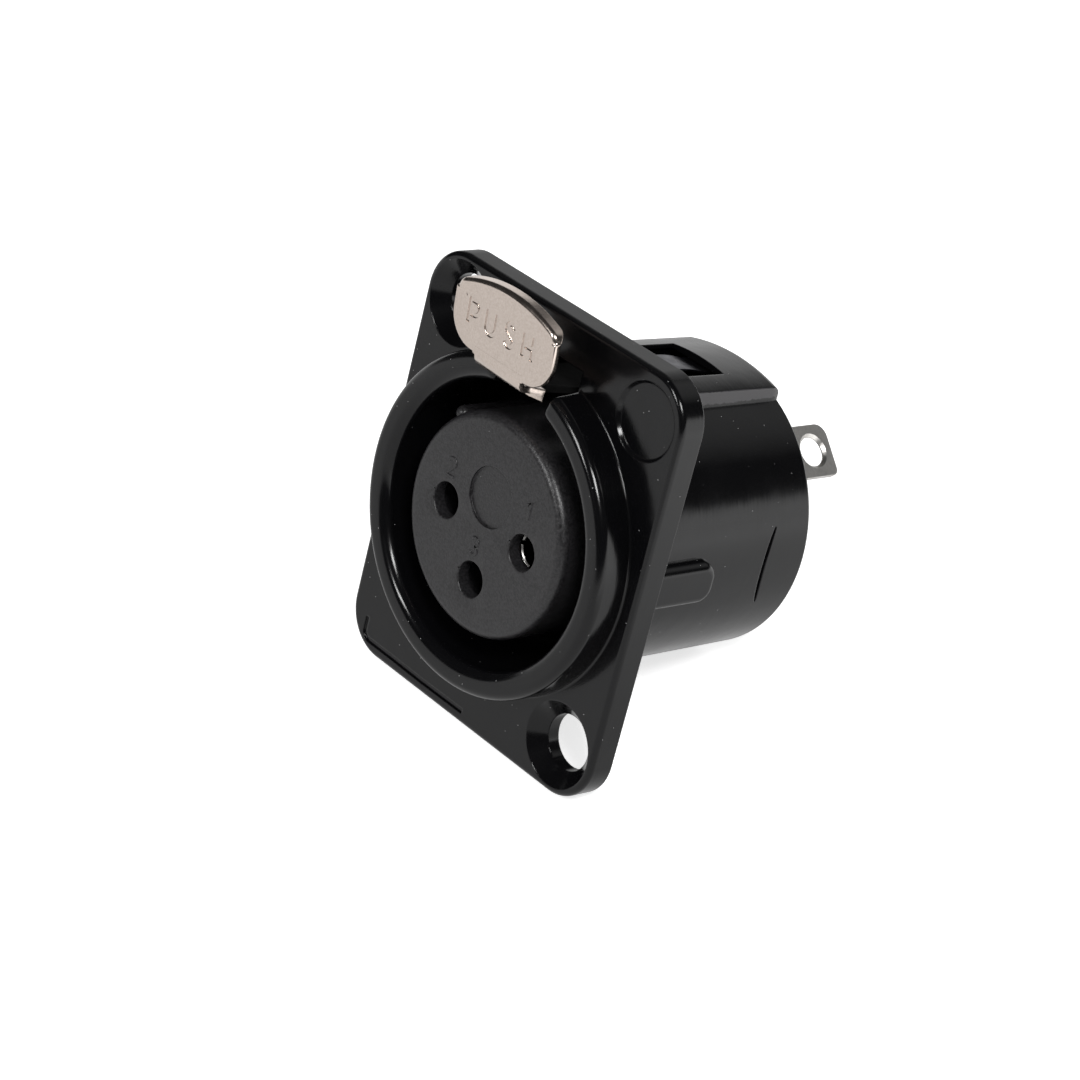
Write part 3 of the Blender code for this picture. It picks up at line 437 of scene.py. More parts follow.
def make_cavity(x, z):
    """The cutter for a contact's hole: rounded mouth, entry, wider room and rear seat."""
    mouth, overlap, sunk, room, lip = 0.1, 0.05, 0.03, 1.7, 1.0
    seat_front, seat_radius, behind = 12.9, 2.4, 15.0
    wide = ENTRY + mouth + overlap
    profile = [(0.0, INSERT_FRONT - 1.0), (wide, INSERT_FRONT - 1.0), (wide, INSERT_FRONT - sunk)]
    profile += arc((ENTRY + mouth, INSERT_FRONT + mouth), mouth, -math.pi / 2, -math.pi, 5)
    profile += [(ENTRY, INSERT_FRONT + lip), (room, INSERT_FRONT + lip), (room, seat_front),
                (seat_radius, seat_front), (seat_radius, behind), (0.0, behind)]
    return place(revolve("cavity", profile, 64), Matrix.Translation((x, 0, z)))


def make_nick(x, z):
    """The cutter for the tiny gate mark at the left edge of a contact's hole."""
    radius, proud, depth = 0.07, 0.5, 0.3
    profile = [(0.0, -proud), (radius, -proud), (radius, depth), (0.0, depth)]
    return place(revolve("nick", profile, 16),
                 Matrix.Translation((x - ENTRY - 0.06, INSERT_FRONT, z + 0.25)))


def make_dimple():
    """The cutter for the shallow round dimple above the insert's middle."""
    outer, inner, depth, x, z = 2.18, 2.12, 0.2, 0.03, 2.15
    dimple = revolve("dimple", [(0.0, INSERT_FRONT - 1.0), (outer, INSERT_FRONT - 1.0),
                                (inner, INSERT_FRONT + depth), (0.0, INSERT_FRONT + depth)], HOLE_STEPS)
    return place(dimple, Matrix.Translation((x, 0, z)))


def make_insert():
    """The moulding that carries the contacts, with raised numbers beside their holes."""
    edge = 0.65
    profile = [(0.0, INSERT_FRONT)]
    profile += arc((INSERT_RADIUS - edge, INSERT_FRONT + edge), edge, -math.pi / 2, 0.0, 12)
    profile += [(INSERT_RADIUS, INSERT_FLANGE_FRONT), (INSERT_FLANGE_RADIUS, INSERT_FLANGE_FRONT),
                (INSERT_FLANGE_RADIUS, INSERT_REAR), (0.0, INSERT_REAR)]
    insert = revolve("insert_body", profile)
    fuse(insert, make_key())
    for x, z in CONTACT_PLACES.values():
        cut(insert, make_cavity(x, z), make_nick(x, z))
    notch_half, notch_front, notch_low = 2.1, 12.7, 8.35
    cut(insert, make_dimple(),
        block("notch", (-notch_half, notch_front, notch_low), (notch_half, 16.0, 11.0)))
    width, depth, relief_height, spread = 0.2, 0.1, 0.06, 1.3
    for number, (x, z) in NUMERAL_PLACES.items():
        for path in numeral_paths(number):
            moved = [(x + px, z + pz) for px, pz in path]
            fuse(insert, stroke("numeral", moved, width, INSERT_FRONT, depth, relief_height, spread))
    return insert


def radial(x, z):
    """Turns a piece whose width is along X so that it stands across its radius."""
    return Matrix.Rotation(math.pi / 2 - math.atan2(z, x), 4, "Y")


def make_disc():
    """The disc that closes the barrel at the rear, with slots for the four tags."""
    edge, front, behind = 0.25, DISC_FRONT - 1.2, DISC_REAR + 1.3
    profile = [(0.0, DISC_FRONT), (INSERT_FLANGE_RADIUS, DISC_FRONT)]
    profile += arc((INSERT_FLANGE_RADIUS - edge, DISC_REAR - edge), edge, 0.0, math.pi / 2, 6)
    disc = revolve("disc_body", profile + [(0.0, DISC_REAR)], 160)
    half, thick = 1.45, 0.35
    for x, z in CONTACT_PLACES.values():
        slot = block("slot", (-half, front, -thick), (half, behind, thick))
        cut(disc, place(slot, Matrix.Translation((x, 0, z)) @ radial(x, z)))
    ground_half, ground_low, ground_high = 2.05, 8.5, 10.5
    slot = block("slot", (-ground_half, front, ground_low), (ground_half, behind, ground_high))
    cut(disc, place(slot, Matrix.Rotation(GROUND_DIRECTION, 4, "Y")))
    return disc


# Contacts

def make_tag(name, width, start, end, hole, left_corner=0.5, rim=0.14):
    """A flat tag in the XY plane with softened edges and a wire hole."""
    half, corner, edge, thickness, hole_setback = width / 2, 0.5, 0.07, 0.5, 1.85

    def outline(inset):
        right = arc((half - corner, end - corner), corner - inset, 0.0, math.pi / 2, 10)
        left = arc((left_corner - half, end - left_corner), left_corner - inset, math.pi / 2, math.pi, 12)
        return [(half - inset, start)] + right + left + [(inset - half, start)]

    face = thickness / 2
    slant = 0.3 * edge
    layers = ((edge, -face), (slant, slant - face), (0.0, edge - face),
              (0.0, face - edge), (slant, face - slant), (edge, face))
    tag = loft(name, [[(x, y, z) for x, y in outline(inset)] for inset, z in layers])
    beyond = hole + rim + 0.1
    drill = revolve("drill", [(0.0, -1.0), (beyond, -1.0), (hole + rim, -face), (hole, rim - face),
                              (hole, face - rim), (hole + rim, face), (beyond, 1.0), (0.0, 1.0)], 64)
    upright = Matrix.Rotation(math.pi / 2, 4, "X")
    cut(tag, place(drill, Matrix.Translation((0, end - hole_setback, 0)) @ upright))
    return tag


def make_contact(number):
    """A turned socket contact, slit crosswise, with its tag. Contact 1 stands ahead of the others."""
    x, z = CONTACT_PLACES[number]
    front = INSERT_FRONT + (1.2 if number == 1 else 2.8)
    end = front + 11.5
    bore, stem, outer, floor, seat_front, seat_radius = 1.2, 1.3, 1.5, 1.5, 13.05, 2.3
    contact = revolve(f"contact_{number}_body", [
        (0.0, end - floor), (bore, end - floor), (bore, front + 0.12), (stem, front), (1.42, front),
        (outer, front + 0.1), (outer, end), (stem, end), (stem, seat_front), (seat_radius, seat_front),
        (seat_radius, INSERT_REAR), (0.0, INSERT_REAR)], 64)
    half, across, length = 0.17, 3, 6.5
    cut(contact, block("slit", (-half, front - 1, -across), (half, front + length, across)),
        block("slit", (-across, front - 1, -half), (across, front + length, half)))
    tag = make_tag("tag", width=2.6, start=13.5, end=TAG_END, hole=0.8)
    fuse(contact, place(tag, radial(x, z)))
    return place(contact, Matrix.Translation((x, 0, z)))


def make_ground():
    """The ground contact: a strip at the barrel's wall whose tag leaves at the upper right."""
    strip = make_tag("ground_tag", width=3.85, start=11.65, end=GROUND_TAG_END, hole=1.05,
                     left_corner=1.0, rim=0.22)
    fuse(strip, block("foot", (-1.2, 13.4, -1.35), (1.2, 13.9, 0.0)))
    return place(strip, Matrix.Rotation(GROUND_DIRECTION, 4, "Y")
                 @ Matrix.Translation((0, 0, GROUND_RADIUS)))


# Latch

def plate_outline():
    """The push plate seen from the front, anticlockwise from the right of its lower edge."""
    half, lower, upper, crown = PLATE_HALF_WIDTH, 2.3, 1.0, 12.0
    right = arc((half - lower, PLATE_BOTTOM + lower), lower, -math.pi / 2, 0.0, 20)
    right += [(half, 14.9), (half, 15.2), (half, 15.35)]
    centre = PLATE_TOP - crown
    shoulder = half - upper
    height = centre + math.sqrt((crown - upper) ** 2 - shoulder ** 2)
    lean = math.atan2(height - centre, shoulder)
    right += arc((shoulder, height), upper, 0.0, lean, 14)
    right += arc((0.0, centre), crown, lean, math.pi / 2, 24)[1:]
    return right + [(-x, z) for x, z in reversed(right[:-1])]


def lean_forward(piece):
    """Tips a piece of the plate forward about the plate's lower edge."""
    shear = Matrix.Translation((0, PLATE_LEAN * PLATE_BOTTOM, 0))
    shear[1][2] = -PLATE_LEAN
    return place(piece, shear)


def plate_edges():
    """Profiles of the plain edge and of the turned-over upper edge, from the front face to the rear
    face, as (inward, forward) pairs. Both have as many points, so that one can pass into the other.
    """
    inner = 1.3
    plain = [(w, 0.0) for w in (inner, 1.0, 0.86, 0.74, 0.64, 0.54, 0.42, 0.32, 0.24, 0.17, 0.1)]
    plain += [(0.03, -0.03), (0.0, -0.1), (0.0, -0.2), (0.0, -0.3), (0.0, -0.4), (0.03, 0.03 - SHEET),
              (0.1, -SHEET), (0.4, -SHEET), (inner, -SHEET)]
    start, reach, turn, soft = 0.41, 0.95, math.radians(87), 0.06
    over = [(inner, 0.0), (1.0, 0.0), (0.7, 0.0)]
    over += [(start - w, h - EDGE_BEND) for h, w in arc((0.0, 0.0), EDGE_BEND, 0.0, turn, 9)]
    over += [(0.03, -0.6), (0.0, soft - reach), (soft, -reach), (0.35, -reach), (0.5, -0.6),
             (0.8, -SHEET), (inner, -SHEET)]
    return plain, over


def make_plate():
    """The push plate, whose upper edge is rounded over and turned to the rear."""
    outline = plate_outline()
    plain, over = plate_edges()
    turn_start, turn_length = 15.5, 0.25
    full_from, full_length, least = 15.8, 0.6, 0.3
    loops = [[] for _ in plain]
    for i, (x, z) in enumerate(outline):
        before, after = Vector(outline[i - 1]), Vector(outline[(i + 1) % len(outline)])
        along = (after - before).normalized()
        inward = Vector((-along.y, along.x))
        share = min(max((z - turn_start) / turn_length, 0.0), 1.0)
        share = share * share * (3 - 2 * share)
        turned = least + (1 - least) * min(max((z - full_from) / full_length, 0.0), 1.0)
        for loop, a, b in zip(loops, plain, over):
            offset = a[0] + (b[0] - a[0]) * share
            behind = b[1] if b[1] > -EDGE_BEND else -EDGE_BEND + (b[1] + EDGE_BEND) * turned
            forward = a[1] + (behind - a[1]) * share
            loop.append((x + inward.x * offset, PLATE_FRONT - forward, z + inward.y * offset))
    return loft("latch_plate", loops)


def arm_height(y):
    """Height of the arm's middle line, which falls to a knee and then gently to the pivot."""
    front, knee, height, steep, gentle = -5.65, -1.0, 11.17, 0.13, 0.05
    return height - steep * (min(y, knee) - front) - gentle * max(y - knee, 0.0)


def arm_section(point, over, width, soft=0.07):
    """A softened rectangle across the arm at a point of its middle line."""
    half = SHEET / 2
    slant = 0.3 * soft
    section = []
    for side, rise in ((1, 1), (-1, 1), (-1, -1), (1, -1)):
        corner = [(width - soft, half), (width - slant, half - slant), (width, half - soft)]
        if side * rise > 0:
            corner.reverse()
        section += [(side * w, *(point + over * rise * h)) for w, h in corner]
    return section


def make_arm():
    """The arm: flared in front of the collar, narrow where it enters the housing."""
    bend, half, wide, narrow, neck = 0.65, SHEET / 2, 2.55, ARM_HALF_WIDTH, 2.3
    lean = math.atan(PLATE_LEAN)
    sunk = 0.002
    stations = []
    for z in (12.3, 11.86):
        face = PLATE_FRONT - PLATE_LEAN * (z - PLATE_BOTTOM) - sunk
        stations.append((face + half * math.cos(lean), z + half * math.sin(lean), wide))
    front = (PLATE_FRONT + half + bend, arm_height(-5.65) + bend)
    for i, (y, z) in enumerate(arc(front, bend, math.pi, 1.5 * math.pi, 14)):
        stations.append((y, z, wide if i == 0 else neck))
    for y, width in ((-5.5, neck), FLARE_START, FLARE_END, (-4.36, narrow), (-1.0, narrow),
                     (0.1, narrow), (6.0, narrow)):
        stations.append((y, arm_height(y), width))
    pivot_y, pivot_z = PIVOT
    tail = (pivot_y - bend, arm_height(pivot_y) - bend)
    stations += [(y, z, narrow) for y, z in arc(tail, bend, math.pi / 2, 0.0, 10)]
    stations.append((pivot_y, pivot_z, narrow))
    loops = []
    for i, (y, z, width) in enumerate(stations):
        before, after = stations[max(i - 1, 0)], stations[min(i + 1, len(stations) - 1)]
        along = Vector((after[0] - before[0], after[1] - before[1])).normalized()
        loops.append(arm_section(Vector((y, z)), Vector((-along.y, along.x)), width))
    return loft("arm", loops)


def make_arm_side(side):
    """A turned-down side of the arm's front part, which flares towards the rear."""
    soft, thickness, proud, raised = 0.05, 0.48, 0.001, 0.25
    slant = 0.3 * soft
    loops = []
    for (y, half_width), depth in ((FLARE_START, 0.42), (FLARE_END, 0.62)):
        inner, outer = half_width - thickness, half_width + proud
        top, low = arm_height(y), arm_height(y) - SHEET / 2 - depth + raised
        loops.append([(side * x, y, z) for x, z in (
            (outer, top), (inner, top), (inner, low + soft), (inner + slant, low + slant),
            (inner + soft, low), (outer - soft, low), (outer - slant, low + slant),
            (outer, low + soft))])
    return loft("side", loops)


def letter_paths():
    """The word PUSH as (x of the letter's middle, strokes), each stroke (x, z) about that middle."""
    h, w, turn, bend = 0.8, 0.5, 0.6, 0.42
    bowl = arc((0.08, 0.4 * h), turn * h, math.pi / 2, -math.pi / 2, 10)[1:]
    p = [[(-w, -h), (-w, h)], [(-w - 0.15, h), (0.08, h)] + bowl + [(-w, -0.2 * h)]]
    u = [[(-w, h), (-w, -h + w)] + arc((0.0, -h + w), w, math.pi, math.tau, 12)[1:] + [(w, h)]]
    s = [arc((0.0, h - bend), bend, math.radians(20), math.radians(200), 9)
         + [(-0.2, 0.16), (0.2, -0.14)]
         + arc((0.0, -h + bend), bend, math.radians(20), math.radians(-160), 9)]
    last = [[(-w, -h), (-w, h)], [(w, -h), (w, h)], [(-w, 0.0), (w, 0.0)]]
    return ((-3.0, p), (-1.2, u), (0.7, s), (2.55, last))


def make_latch():
    """The latch: lettered plate, arm with its sides, locking nose and the round end it turns on."""
    latch = make_plate()
    middle, narrowing = 14.4, 0.92
    width, depth, proud, taper = 0.36, 0.08, 0.1, 0.75
    for x, paths in letter_paths():
        for path in paths:
            moved = [(x + px * narrowing, middle + pz) for px, pz in path]
            cut(latch, stroke("letter", moved, width, PLATE_FRONT, depth, proud, taper))
    merge_flat(latch)
    lean_forward(latch)
    nose_half = 1.6
    nose = [(3.75, 10.3), (3.75, 9.93), (5.45, 8.85), (5.9, 8.85), (6.25, 10.0), (6.25, 10.3)]
    fuse(latch, make_arm(), make_arm_side(1), make_arm_side(-1),
         loft("nose", [[(x, y, z) for y, z in nose] for x in (-nose_half, nose_half)]))
    radius, half = 0.27, ARM_HALF_WIDTH
    bead = revolve("bead", [(0.0, -half), (radius, -half), (radius, half), (0.0, half)], 48)
    fuse(latch, place(bead, Matrix.Translation((0, *PIVOT)) @ Matrix.Rotation(math.pi / 2, 4, "Z")))
    return latch


def finish_latch(latch, dark):
    """Gives the arm's inner part the dark material of painted shade and keeps the plate's face truly flat.
    """
    latch.data.materials.append(dark)
    plate_normal = Vector((0, -1, -PLATE_LEAN)).normalized()
    for face in latch.data.polygons:
        # Painted shade: faces of the arm behind this depth take the dark material.
        face.material_index = 1 if face.center.y > ARM_PAINTED_SHADE_FROM * mm else 0
        face.use_smooth = abs(face.normal.dot(plate_normal)) < 0.99999


def make_spring():
    """The leaf spring: flat where it is held at the rear, bowed forward down to the arm."""
    half, thick, steps = 1.2, 0.18, 16
    rear, height, landing, front, bow, gap = 14.05, 10.51, 11.95, 6.4, 0.4, 0.1
    tip = arm_height(front) + SHEET / 2 + gap + thick / 2
    path = [(rear, height), (landing, height)]
    for i in range(1, steps + 1):
        share = i / steps
        rise = bow * math.sin(math.pi * share) * (1 - 0.3 * share)
        path.append((landing + (front - landing) * share, height + (tip - height) * share + rise))
    loops = []
    for i, point in enumerate(path):
        before, after = Vector(path[max(i - 1, 0)]), Vector(path[min(i + 1, len(path) - 1)])
        along = (after - before).normalized()
        over = Vector((along.y, -along.x)) * thick / 2
        upper, lower = Vector(point) + over, Vector(point) - over
        loops.append([(half, *upper), (-half, *upper), (-half, *lower), (half, *lower)])
    return loft("spring_leaf", loops)


# Materials

class Nodes:
    """A short way to add and link the nodes of a tree."""

    def __init__(self, tree):
        self.tree = tree

    def add(self, kind, **values):
        """A new node, with its settings."""
        node = self.tree.nodes.new(kind)
        for key, value in values.items():
            setattr(node, key, value)
        return node

    def feed(self, socket, value):
        """Sets a socket to a number or colour, or links a node's output to it."""
        if isinstance(value, bpy.types.NodeSocket):
            self.tree.links.new(value, socket)
        elif isinstance(value, tuple) and socket.type == "RGBA":
            socket.default_value = (*value, 1.0)
        else:
            socket.default_value = value

    def calculate(self, operation, *values):
        """The result of a sum on numbers or outputs."""
        node = self.add("ShaderNodeMath", operation=operation)
        for socket, value in zip(node.inputs, values):
            self.feed(socket, value)
        return node.outputs["Value"]

    def mix(self, factor, first, second):
        """A colour between two, by a factor."""
        node = self.add("ShaderNodeMix", data_type="RGBA")
        self.feed(node.inputs["Factor"], factor)
        self.feed(node.inputs["A"], first)
        self.feed(node.inputs["B"], second)
        return node.outputs["Result"]

    def ramp(self, source, low, high, out_low=0.0, out_high=1.0):
        """A clamped straight-line change of a value."""
        node = self.add("ShaderNodeMapRange")
        for name, value in (("Value", source), ("From Min", low), ("From Max", high),
                            ("To Min", out_low), ("To Max", out_high)):
            self.feed(node.inputs[name], value)
        return node.outputs["Result"]

    def along(self, vector, direction):
        """How far a vector reaches along a direction."""
        node = self.add("ShaderNodeVectorMath", operation="DOT_PRODUCT")
        self.feed(node.inputs[0], vector)
        node.inputs[1].default_value = direction
        return node.outputs["Value"]

    def coordinates(self, scale=(1, 1, 1)):
        """The object's own coordinates, stretched by a scale."""
        where = self.add("ShaderNodeTexCoord")
        mapping = self.add("ShaderNodeMapping")
        mapping.inputs["Scale"].default_value = scale
        self.feed(mapping.inputs["Vector"], where.outputs["Object"])
        return mapping.outputs["Vector"]

    def noise(self, vector, wavelength, detail=2.0, roughness=0.5):
        """Noise of a wavelength in millimetres."""
        node = self.add("ShaderNodeTexNoise")
        for name, value in (("Scale", 1.0 / (wavelength * mm)), ("Detail", detail),
                            ("Roughness", roughness), ("Vector", vector)):
            self.feed(node.inputs[name], value)
        return node.outputs["Fac"]

    def specks(self, vector, spacing, size, share):
        """Sparse round specks: a share of the cells of a given spacing hold one."""
        cells = self.add("ShaderNodeTexVoronoi")
        cells.inputs["Scale"].default_value = 1.0 / (spacing * mm)
        self.feed(cells.inputs["Vector"], vector)
        near = self.ramp(cells.outputs["Distance"], size / spacing, 0.6 * size / spacing)
        split = self.add("ShaderNodeSeparateColor")
        self.feed(split.inputs["Color"], cells.outputs["Color"])
        chosen = self.ramp(split.outputs["Red"], share, share * 0.98)
        return self.calculate("MULTIPLY", near, chosen)


def principled(name, roughness, metallic=0.0, ior=1.45):
    """A new material with its shader and nodes."""
    material = bpy.data.materials.new(name)
    material.use_nodes = True
    shader = material.node_tree.nodes["Principled BSDF"]
    shader.inputs["Roughness"].default_value = roughness
    shader.inputs["Metallic"].default_value = metallic
    shader.inputs["IOR"].default_value = ior
    return material, shader, Nodes(material.node_tree)


def relief(nodes, shader, layers, edge=0.12):
    """Adds softened edges and layers of bump, each a (node output, height in mm) pair."""
    bevel = nodes.add("ShaderNodeBevel", samples=6)
    bevel.inputs["Radius"].default_value = edge * mm
    normal = bevel.outputs["Normal"]
    for output, height in layers:
        bump = nodes.add("ShaderNodeBump")
        bump.inputs["Strength"].default_value = 1.0
        bump.inputs["Distance"].default_value = height * mm
        nodes.feed(bump.inputs["Height"], output)
        nodes.feed(bump.inputs["Normal"], normal)
        normal = bump.outputs["Normal"]
    nodes.feed(shader.inputs["Normal"], normal)


DUST = (0.35, 0.35, 0.35)


def painted_reflection_side(nodes, place, ragged):
    """A mask of the latch housing's right side wall, where a lighter grey is painted as a reflection, with
    a ragged edge.
    """
    mask = 1.0
    for source, low, high in ((place.outputs["X"], ROOF_HALF_WIDTH - 0.07, ROOF_HALF_WIDTH - 0.03),
                              (place.outputs["Y"], 0.0, 0.1), (ragged, 9.95, 10.05),
                              (ragged, 11.0, 10.9)):
        mask = nodes.calculate("MULTIPLY", mask, nodes.ramp(source, low * mm, high * mm))
    return mask


def paint_material():
    """Gloss black paint on a casting, with faint orange peel, drawn streaks, a painted reflection on the
    latch housing's side wall, and dust.
    """
    material, shader, nodes = principled("gloss_black_paint", 0.16, ior=1.36)
    plain = nodes.coordinates()
    streaked = nodes.coordinates((0.25, 2.2, 0.25))
    place = nodes.add("ShaderNodeSeparateXYZ")
    nodes.feed(place.inputs["Vector"], plain)
    raggedness = 0.5
    ragged = nodes.calculate("MULTIPLY_ADD", nodes.noise(plain, 0.5, 3.0, 0.7), raggedness * mm,
                             place.outputs["Z"])
    # Painted reflection: the latch housing's right side wall is coloured lighter grey.
    black, painted_reflection_grey = (0.0022, 0.0022, 0.0026), (0.055, 0.053, 0.056)
    colour = nodes.mix(painted_reflection_side(nodes, place, ragged), black, painted_reflection_grey)
    dust = nodes.specks(plain, spacing=0.5, size=0.036, share=0.3)
    nodes.feed(shader.inputs["Base Color"], nodes.mix(dust, colour, DUST))
    mottle = nodes.ramp(nodes.noise(plain, 3.5, 3.0), 0.35, 0.7, 0.12, 0.2)
    rough_top = nodes.ramp(place.outputs["Z"], (FLANGE_HALF_HEIGHT - 0.3) * mm,
                           (FLANGE_HALF_HEIGHT - 0.1) * mm, 0.0, 0.42)
    nodes.feed(shader.inputs["Roughness"], nodes.calculate("MAXIMUM", mottle, rough_top))
    peel, streaks = nodes.noise(plain, 1.6, 1.0), nodes.noise(streaked, 0.5)
    relief(nodes, shader, [(peel, 0.012), (streaks, 0.004)], 0.14)
    return material


def plastic_material():
    """Matte black moulding with a fine grain and a little dust."""
    material, shader, nodes = principled("matte_black_plastic", 0.36)
    plain = nodes.coordinates()
    fine = nodes.noise(plain, 0.16, 2.0, 0.7)
    colour = (0.013, 0.0125, 0.0135)
    darker, lighter = (tuple(share * c for c in colour) for share in (0.45, 1.6))
    tone = nodes.mix(nodes.ramp(fine, 0.35, 0.65), darker, lighter)
    dust = nodes.specks(plain, spacing=0.8, size=0.03, share=0.12)
    nodes.feed(shader.inputs["Base Color"], nodes.mix(dust, tone, (0.3, 0.3, 0.3)))
    nodes.feed(shader.inputs["Roughness"], nodes.ramp(fine, 0.3, 0.75, 0.28, 0.46))
    relief(nodes, shader, [(fine, 0.02)], 0.08)
    return material


def nickel_material():
    """Warm nickel plate, slightly milky, with fine pits."""
    material, shader, nodes = principled("nickel_plate", 0.22, 1.0)
    plain = nodes.coordinates()
    fine = nodes.ramp(nodes.noise(plain, 0.14, 2.0, 0.6), 0.3, 0.7)
    nodes.feed(shader.inputs["Base Color"], nodes.mix(fine, (0.54, 0.465, 0.415), (0.62, 0.54, 0.485)))
    haze = nodes.noise(plain, 1.1, 4.0, 0.6)
    nodes.feed(shader.inputs["Roughness"], nodes.ramp(haze, 0.3, 0.75, 0.16, 0.27))
    relief(nodes, shader, [(haze, 0.01), (nodes.noise(plain, 0.22, 2.0, 0.6), 0.0025)], 0.06)
    return material


def painted_shade_material():
    """Painted shade: a near-black, nearly matt colour for the latch's arm inside the housing."""
    material, shader, nodes = principled("painted_shade_dark", 0.9)
    shader.inputs["Specular IOR Level"].default_value = 0.03
    mottle = nodes.noise(nodes.coordinates(), 0.8, 3.0)
    nodes.feed(shader.inputs["Base Color"], nodes.mix(mottle, (0.003, 0.003, 0.003), (0.009, 0.009, 0.009)))
    return material


def tin_material():
    """Dull tin plate with fine scratches, with painted shade where it lies deep in the insert."""
    material, shader, nodes = principled("tin_plate", 0.38, 1.0)
    plain = nodes.coordinates()
    haze = nodes.noise(plain, 0.7, 4.0, 0.65)
    plated = nodes.mix(nodes.ramp(haze, 0.35, 0.75), (0.66, 0.645, 0.62), (0.46, 0.45, 0.43))
    place = nodes.add("ShaderNodeSeparateXYZ")
    nodes.feed(place.inputs["Vector"], plain)
    # Painted shade: except at contact 1's front rim and at the rear, the tin is coloured near black.
    rim = nodes.ramp(place.outputs["Y"], -2.95 * mm, -2.9 * mm, 1.0, 0.0)
    rear = nodes.ramp(place.outputs["Y"], 14.0 * mm, 15.0 * mm)
    outer = nodes.calculate("MAXIMUM", rim, rear)
    nodes.feed(shader.inputs["Base Color"], nodes.mix(outer, (0.012, 0.012, 0.012), plated))
    nodes.feed(shader.inputs["Roughness"], nodes.ramp(haze, 0.3, 0.75, 0.28, 0.5))
    scratches = nodes.noise(nodes.coordinates((1.0, 0.08, 1.0)), 0.12)
    relief(nodes, shader, [(haze, 0.006), (scratches, 0.003)], 0.05)
    return material


def steel_material():
    """Blued spring steel."""
    material, shader, nodes = principled("blued_spring_steel", 0.4, 1.0)
    shader.inputs["Base Color"].default_value = (0.05, 0.05, 0.06, 1.0)
    haze = nodes.noise(nodes.coordinates(), 0.9, 3.0, 0.6)
    nodes.feed(shader.inputs["Roughness"], nodes.ramp(haze, 0.3, 0.75, 0.26, 0.45))
    relief(nodes, shader, [(haze, 0.004)], 0.04)
    return material


# Floor, light and camera

FLOOR_NORMAL = Vector((0.0, -math.sin(FLOOR_TILT), math.cos(FLOOR_TILT)))
TOWARD_RIGHT = (0.75, 0.66, 0.0)


def seen_directly(nodes, path):
    """Is 1 for rays from the camera, straight or through a clear surface."""
    return nodes.calculate("MAXIMUM", path.outputs["Is Camera Ray"], path.outputs["Is Transmission Ray"])


def make_floor():
    """A pale floor through the flange's lower edge, on which the tipped part lies."""
    radius, below = 150.0, 0.02
    shape = bmesh.new()
    bmesh.ops.create_circle(shape, cap_ends=True, segments=96, radius=radius)
    floor = store("floor", shape)
    floor.rotation_mode = "QUATERNION"
    floor.rotation_quaternion = FLOOR_NORMAL.to_track_quat("Z", "Y")
    floor.location = (Vector((0.0, 0.0, -FLANGE_HALF_HEIGHT)) - FLOOR_NORMAL * below) * mm
    material, shader, nodes = principled("pale_floor", 0.8)
    shader.inputs["Specular IOR Level"].default_value = 0.2
    path = nodes.add("ShaderNodeLightPath")
    mirrored = path.outputs["Is Glossy Ray"]
    nodes.feed(shader.inputs["Base Color"], nodes.mix(mirrored, (0.86, 0.86, 0.86), (0.4, 0.4, 0.4)))
    where = nodes.add("ShaderNodeNewGeometry")
    rightward = nodes.along(where.outputs["Position"], TOWARD_RIGHT)
    brighter = nodes.ramp(rightward, 20 * mm, 70 * mm, 0.42, 1.5)
    mirrored_glow = nodes.calculate("MULTIPLY", mirrored, brighter)
    seen_glow = 0.7
    glow = nodes.calculate("MULTIPLY_ADD", seen_directly(nodes, path), seen_glow, mirrored_glow)
    shader.inputs["Emission Color"].default_value = (1, 1, 1, 1)
    nodes.feed(shader.inputs["Emission Strength"], glow)
    floor.data.materials.append(material)


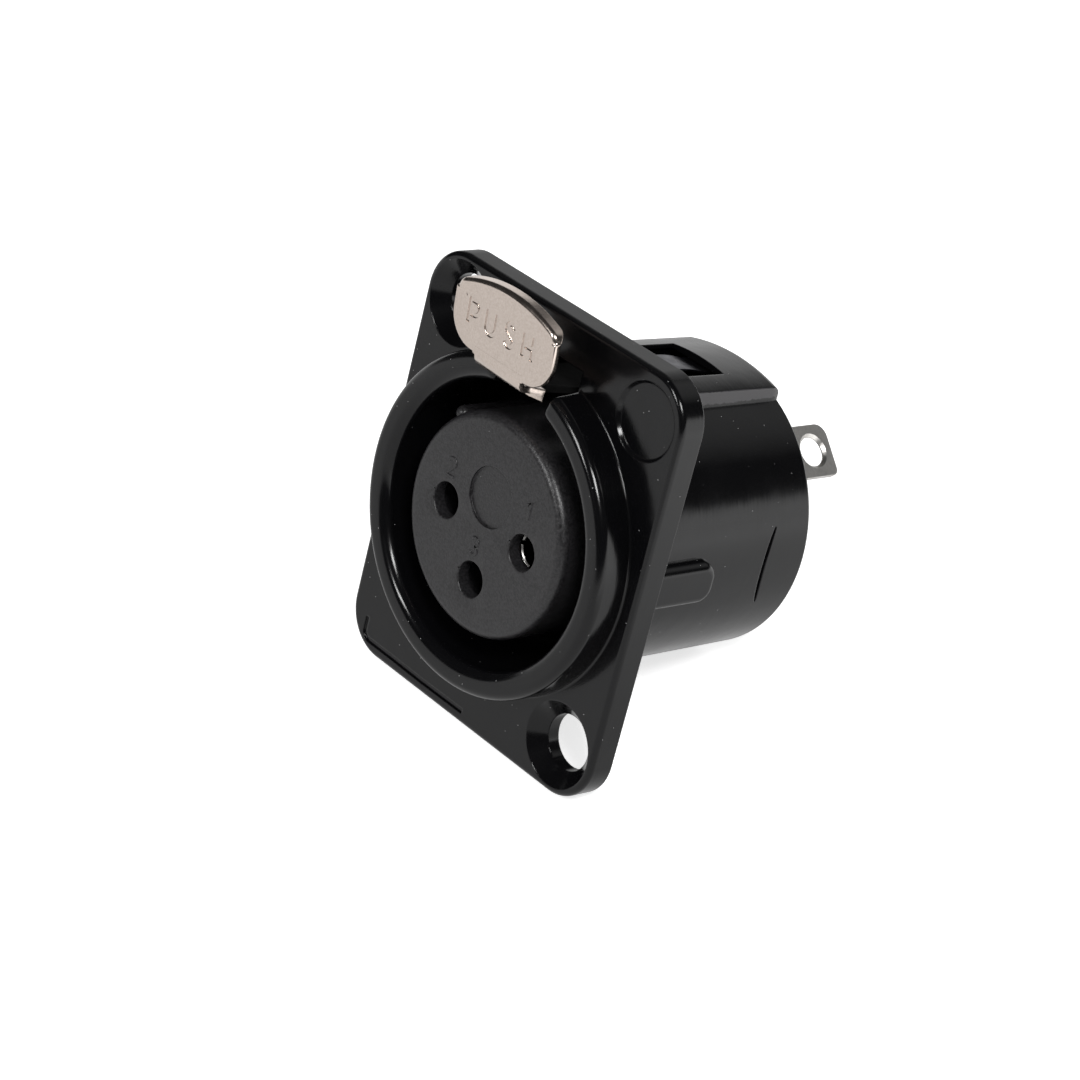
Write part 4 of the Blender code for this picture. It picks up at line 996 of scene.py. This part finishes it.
def make_world():
    """White for the camera. Reflections see white below the floor's horizon, brighter to the right,
    and a dim room above it, with a white wall at the rear left and a soft ceiling patch.
    """
    world = bpy.data.worlds.new("studio")
    bpy.context.scene.world = world
    world.use_nodes = True
    nodes = Nodes(world.node_tree)
    background = world.node_tree.nodes["Background"]
    direction = nodes.add("ShaderNodeTexCoord").outputs["Generated"]
    room = nodes.ramp(nodes.along(direction, FLOOR_NORMAL), -0.01, 0.05, 1.0, 0.03)
    right = nodes.ramp(nodes.along(direction, TOWARD_RIGHT), 0.5, 0.9, 1.0, 2.0)
    room = nodes.calculate("MULTIPLY", room, right)
    wall = nodes.along(direction, Vector((-0.69, 0.69, 0.2)).normalized())
    ceiling = nodes.along(direction, Vector((0.05, 0.6, 0.8)).normalized())
    for patch in (nodes.ramp(wall, 0.86, 0.95), nodes.ramp(ceiling, 0.88, 0.98, 0.0, 0.5)):
        room = nodes.calculate("MAXIMUM", room, patch)
    path = nodes.add("ShaderNodeLightPath")
    diffuse_level, seen_level = 0.5, 1.0
    strength = diffuse_level
    for factor, level in ((path.outputs["Is Glossy Ray"], room), (seen_directly(nodes, path), seen_level)):
        change = nodes.add("ShaderNodeMix", data_type="FLOAT")
        for name, value in (("Factor", factor), ("A", strength), ("B", level)):
            nodes.feed(change.inputs[name], value)
        strength = change.outputs["Result"]
    nodes.feed(background.inputs["Strength"], strength)
    background.inputs["Color"].default_value = (1, 1, 1, 1)


def make_lamp(name, place_mm, size_mm, power, target=(0, 4, 0)):
    """A soft rectangular lamp that faces a point near the socket's middle."""
    data = bpy.data.lights.new(name, "AREA")
    data.shape = "RECTANGLE"
    data.size, data.size_y = (side * mm for side in size_mm)
    data.energy = power
    lamp = bpy.data.objects.new(name, data)
    lamp.location = Vector(place_mm) * mm
    aim = (Vector(target) - Vector(place_mm)).normalized()
    lamp.rotation_mode = "QUATERNION"
    lamp.rotation_quaternion = aim.to_track_quat("-Z", "Y")
    bpy.context.scene.collection.objects.link(lamp)


def make_camera():
    """The photograph's camera, which looks down from the front right."""
    data = bpy.data.cameras.new("camera")
    data.lens = 105.0
    data.sensor_width = 36.0
    data.clip_start, data.clip_end = 0.005, 5.0
    camera = bpy.data.objects.new("camera", data)
    right = Vector((0.63639, 0.73671, 0.22863))
    up = Vector((-0.44369, 0.10714, 0.88975))
    back = Vector((0.63099, -0.66767, 0.39505))
    place_mm = Vector((135.761, -142.15, 83.254))
    camera.matrix_world = (Matrix.Translation(place_mm * mm)
                           @ Matrix((right, up, back)).transposed().to_4x4())
    bpy.context.scene.collection.objects.link(camera)
    bpy.context.scene.camera = camera


make_camera()
paint = paint_material()
plastic = plastic_material()
tin = tin_material()

dress(make_housing(), paint, "socket", "black_paint", "housing")
dress(make_insert(), plastic, "socket", "black_plastic", "contact_insert")
dress(make_disc(), plastic, "socket", "black_plastic", "rear_disc")
for number in CONTACT_PLACES:
    dress(make_contact(number), tin, "socket", "tin_plate", f"contact_{number}")
dress(make_ground(), tin, "socket", "tin_plate", "ground_contact")
dress(make_spring(), steel_material(), "socket", "spring_steel", "latch_spring")
latch = dress(make_latch(), nickel_material(), "latch", "nickel_plate", "latch_lever")
finish_latch(latch, painted_shade_material())

make_floor()
make_world()
make_lamp("front_box", (-30, -280, 108), (40, 95), 0.35)
make_lamp("right_box", (180, -135, 192), (72, 72), 0.55)

bpy.context.scene.view_settings.view_transform = "Standard"
